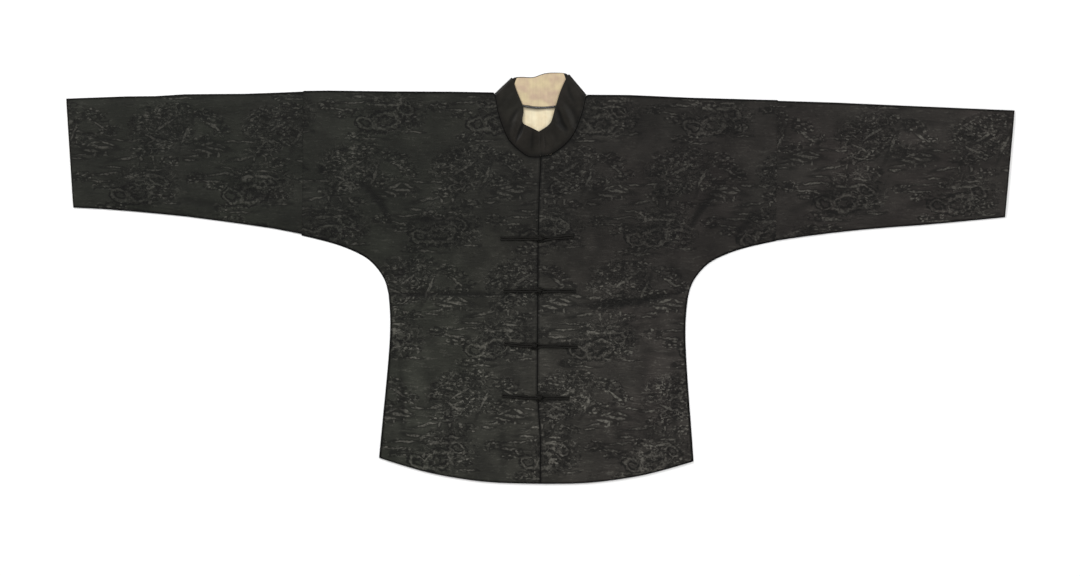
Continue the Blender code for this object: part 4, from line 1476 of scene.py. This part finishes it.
def smooth_line(points, steps):
    """Catmull-Rom curve through points."""
    points = [Vector(p) for p in points]
    padded = [points[0], *points, points[-1]]
    line = []
    for a, b, c, d in zip(padded, padded[1:], padded[2:], padded[3:]):
        for k in range(steps):
            t = k / steps
            line.append(0.5 * (2 * b + (c - a) * t + (2 * a - 5 * b + 4 * c - d) * t * t
                               + (3 * b - a - 3 * c + d) * t ** 3))
    line.append(points[-1])
    return line


def cloth_top(x, y, surfaces):
    """Height of the cloth below a point, in millimetres."""
    for surface in surfaces:
        hit, place, _, _ = surface.ray_cast(Vector((x * MM, y * MM, 0.05)), Vector((0, 0, -1)))
        if hit:
            return place.z / MM
    return 4.0


def bar_line(end, near, offset, surfaces):
    """One strand of a bar, on the cloth, from its sewn end to near the knot."""
    start, stop = Vector(end), Vector(near)
    along = stop - start
    across = Vector((-along.y, along.x)).normalized() * offset
    line = []
    for share in (0.0, 0.2, 0.4, 0.6, 0.8, 1.0):
        x, y = start + along * share + across
        waver = 0.25 * math.sin(share * 9.0 + offset)
        line.append((x, y + waver, cloth_top(x, y, surfaces) + STRAND_RADIUS + STRAND_REST))
    return line


def knot_lines(centre):
    """Strand that wraps the knot over and under itself, as one ring."""
    ring = []
    for k in range(96):
        turn = math.tau * k / 96
        round_it = 3 * turn
        tilt = math.radians(52) * math.sin(4 * turn)
        radius = KNOT_RADIUS + 0.32 * math.cos(8 * turn)
        ring.append(Vector((
            centre[0] + radius * math.cos(tilt) * math.cos(round_it),
            centre[1] + radius * math.cos(tilt) * math.sin(round_it),
            centre[2] + radius * math.sin(tilt))) * MM)
    return ring


def stitches(line, every, reach):
    """Small thread stitches over a bar, at places along it."""
    made = []
    for share in every:
        x, y, z = line[int(share * (len(line) - 1))]
        points = [(x - 0.3, y - reach, z - 1.2), (x - 0.1, y - reach * 0.6, z + 1.0),
                  (x + 0.1, y + reach * 0.6, z + 1.0), (x + 0.3, y + reach, z - 1.2)]
        made.append(([p * MM for p in smooth_line(points, 2)], False))
    return made


def make_frog(number, frog, surfaces):
    """Loop and knot halves of one frog."""
    knot_y, right_x, right_y, left_x, left_y, knot_x = frog
    material = cloth_material("cord_satin", frog_cord)
    base = cloth_top(knot_x, knot_y, surfaces) + STRAND_RADIUS + STRAND_REST
    near_x = knot_x + EYE_RADIUS + LOOP_MOUTH
    loop = bar_line((left_x, left_y), (near_x, knot_y), -STRAND_SIDE, surfaces)
    for angle in EYE_ANGLES:
        turn = math.radians(angle)
        loop.append((knot_x + EYE_RADIUS * math.cos(turn),
                     knot_y + EYE_RADIUS * math.sin(turn) * EYE_FLATTENING, base + 0.1))
    loop += reversed(bar_line((left_x, left_y), (near_x, knot_y), STRAND_SIDE, surfaces))
    line = [p * MM for p in smooth_line(loop, CURVE_STEPS)]
    shape = tube_shape([(line, False)], STRAND_RADIUS * MM, STRAND_SIDES)
    piece = new_piece(f"cord_frog_{number}_loop", shape, material)
    hang(piece, [f"frog_{number}_loop"])

    knot_z = base - STRAND_RADIUS + KNOT_RADIUS + KNOT_STRAND + 0.2
    lines = []
    for offset in (-STRAND_SIDE, STRAND_SIDE):
        near_x = knot_x - EYE_RADIUS - NECK_LENGTH
        points = bar_line((right_x, right_y), (near_x, knot_y), offset, surfaces)
        over = base + 2 * STRAND_RADIUS + 0.3
        points += [(knot_x - EYE_RADIUS - 4.6, knot_y + offset, base + 1.7),
                   (knot_x - EYE_RADIUS - 1.0, knot_y + offset, over),
                   (knot_x - EYE_RADIUS + 2.0, knot_y + offset * 0.9, over + 0.1),
                   (knot_x - 2.0, knot_y + offset * 0.6, knot_z + 0.6)]
        lines.append(([p * MM for p in smooth_line(points, CURVE_STEPS)], False))
    shape = tube_shape(lines, STRAND_RADIUS * MM, STRAND_SIDES)
    add_shape(shape, tube_shape(
        [(knot_lines((knot_x, knot_y, knot_z)), True)], KNOT_STRAND * MM, WRAP_SIDES))
    core = bmesh.ops.create_icosphere(
        shape, subdivisions=3, radius=(KNOT_RADIUS - 0.2) * MM)["verts"]
    bmesh.ops.translate(shape, verts=core, vec=Vector((knot_x, knot_y, knot_z)) * MM)
    piece = new_piece(f"cord_frog_{number}_knot", shape, material)
    hang(piece, [f"frog_{number}_knot"])

    threads = []
    for end, other in (((right_x, right_y), (knot_x - EYE_RADIUS - NECK_LENGTH, knot_y)),
                       ((left_x, left_y), (knot_x + EYE_RADIUS + LOOP_MOUTH, knot_y))):
        bar = smooth_line(bar_line(end, other, 0.0, surfaces), CURVE_STEPS)
        threads += stitches(bar, STITCH_PLACES, STITCH_REACH)
    shape = tube_shape(threads, THREAD_RADIUS * MM, THREAD_SIDES)
    piece = new_piece(f"frog_{number}_stitches", shape, material)
    hang(piece, [])


# --------------------------------------------------------------------------------- operators


class JACKET_OT_back(bpy.types.Operator):
    """Back of the jacket with the back halves of the upper sleeves"""

    bl_idname = "jacket.back"
    bl_label = "Back"

    def execute(self, context):
        piece = make_back()
        return {"FINISHED"}


class JACKET_OT_fronts(bpy.types.Operator):
    """Both fronts with the front halves of the upper sleeves"""

    bl_idname = "jacket.fronts"
    bl_label = "Fronts"

    def execute(self, context):
        for name, node, side, seed in (("silk_front_left", "front_left", 1, 3),
                                       ("silk_front_right", "front_right", -1, 5)):
            piece = make_front(name, node, side, seed)
        return {"FINISHED"}


class JACKET_OT_sleeves(bpy.types.Operator):
    """Sleeve tubes beyond the joins"""

    bl_idname = "jacket.sleeves"
    bl_label = "Sleeves"

    def execute(self, context):
        for name, node, side, seed in (("silk_sleeve_left", "sleeve_left", 1, 7),
                                       ("silk_sleeve_right", "sleeve_right", -1, 9)):
            piece = make_sleeve(name, node, side, seed)
        return {"FINISHED"}


class JACKET_OT_collar(bpy.types.Operator):
    """Stand collar of plain satin with its linings"""

    bl_idname = "jacket.collar"
    bl_label = "Collar and linings"

    def execute(self, context):
        collar = make_collar()
        lining = make_lining(
            "lining_collar", "collar_lining", context.scene.jacket_colours.lining, COLLAR_STAIN)
        lining = make_lining("lining_back", "back_lining", BACK_CREAM, BACK_STAIN)
        return {"FINISHED"}


class JACKET_OT_frogs(bpy.types.Operator):
    """Four frogs of doubled cord across the opening"""

    bl_idname = "jacket.frogs"
    bl_label = "Frogs"

    def execute(self, context):
        surfaces = [bpy.data.objects["silk_front_left"], bpy.data.objects["silk_front_right"]]
        for number, frog in enumerate(FROGS, start=1):
            make_frog(number, frog, surfaces)
        return {"FINISHED"}


class JACKET_OT_stage(bpy.types.Operator):
    """Pale floor, soft light and the camera straight above"""

    bl_idname = "jacket.stage"
    bl_label = "Stage"

    def execute(self, context):
        stage = context.scene.jacket_stage
        bpy.ops.object.select_all(action="DESELECT")
        bpy.ops.mesh.primitive_plane_add(size=60.0, location=(0.0, 0.0, -0.0003))
        floor = context.active_object
        floor.name = "floor"
        material, graph, shader = new_material("floor_paper", (0.90, 0.90, 0.90), 0.95, 0.05)
        tone = graph.noise(position_of(graph), 1.2)["Fac"]
        tint = graph.mix(tone, (0.895, 0.90, 0.905, 1.0), (0.915, 0.912, 0.905, 1.0))
        graph.feed(shader.inputs["Base Color"], tint)
        floor.data.materials.append(material)

        camera_data = bpy.data.cameras.new("camera")
        camera_data.lens = camera_data.sensor_width * stage.camera_height / stage.view_width
        camera_data.clip_end = 100.0
        camera = bpy.data.objects.new("camera", camera_data)
        camera.location = (0.0029, -0.0169, stage.camera_height)
        camera.rotation_euler = (0.0, 0.0, stage.camera_turn)
        context.scene.collection.objects.link(camera)
        context.scene.camera = camera

        lights = (
            ("key", (-1.5, 1.9, 2.2), 1.6, stage.key),
            ("fill", (1.8, 0.9, 2.6), 2.0, stage.key * 0.45),
            ("front", (0.2, -2.6, 2.8), 2.2, stage.key * 0.35),
        )
        for name, place, size, power in lights:
            data = bpy.data.lights.new(name, "AREA")
            data.size = size
            data.energy = power
            light = bpy.data.objects.new(name, data)
            light.location = place
            light.rotation_euler = (-Vector(place)).to_track_quat("-Z", "Y").to_euler()
            light.visible_camera = False
            context.scene.collection.objects.link(light)

        world = bpy.data.worlds.new("room")
        world.use_nodes = True
        background = world.node_tree.nodes["Background"]
        background.inputs["Color"].default_value = (1.0, 1.0, 1.0, 1.0)
        background.inputs["Strength"].default_value = stage.daylight
        context.scene.world = world
        context.scene.view_settings.view_transform = "Standard"
        return {"FINISHED"}


class JACKET_PT_panel(bpy.types.Panel):
    """Settings of the jacket and the steps that build it"""

    bl_idname = "JACKET_PT_panel"
    bl_label = "Tang jacket"
    bl_space_type = "VIEW_3D"
    bl_region_type = "UI"
    bl_category = "Jacket"

    def draw(self, context):
        scene = context.scene
        for title, settings in (("Cloth", scene.jacket_cloth), ("Colours", scene.jacket_colours),
                                ("Stage", scene.jacket_stage)):
            box = self.layout.box()
            box.label(text=title)
            for name in settings.bl_rna.properties.keys():
                if name not in ("rna_type", "name"):
                    box.prop(settings, name)
        for step in STEPS:
            self.layout.operator("jacket." + step)


STEPS = ("back", "fronts", "sleeves", "collar", "frogs", "stage")
CLASSES = (
    JacketCloth, JacketColours, JacketStage, JACKET_OT_back, JACKET_OT_fronts,
    JACKET_OT_sleeves, JACKET_OT_collar, JACKET_OT_frogs, JACKET_OT_stage, JACKET_PT_panel,
)


def register():
    for kind in CLASSES:
        bpy.utils.register_class(kind)
    bpy.types.Scene.jacket_cloth = PointerProperty(type=JacketCloth)
    bpy.types.Scene.jacket_colours = PointerProperty(type=JacketColours)
    bpy.types.Scene.jacket_stage = PointerProperty(type=JacketStage)


def unregister():
    del bpy.types.Scene.jacket_stage
    del bpy.types.Scene.jacket_colours
    del bpy.types.Scene.jacket_cloth
    for kind in reversed(CLASSES):
        bpy.utils.unregister_class(kind)


def main():
    register()
    for step in STEPS:
        getattr(bpy.ops.jacket, step)()


if __name__ == "__main__":
    main()
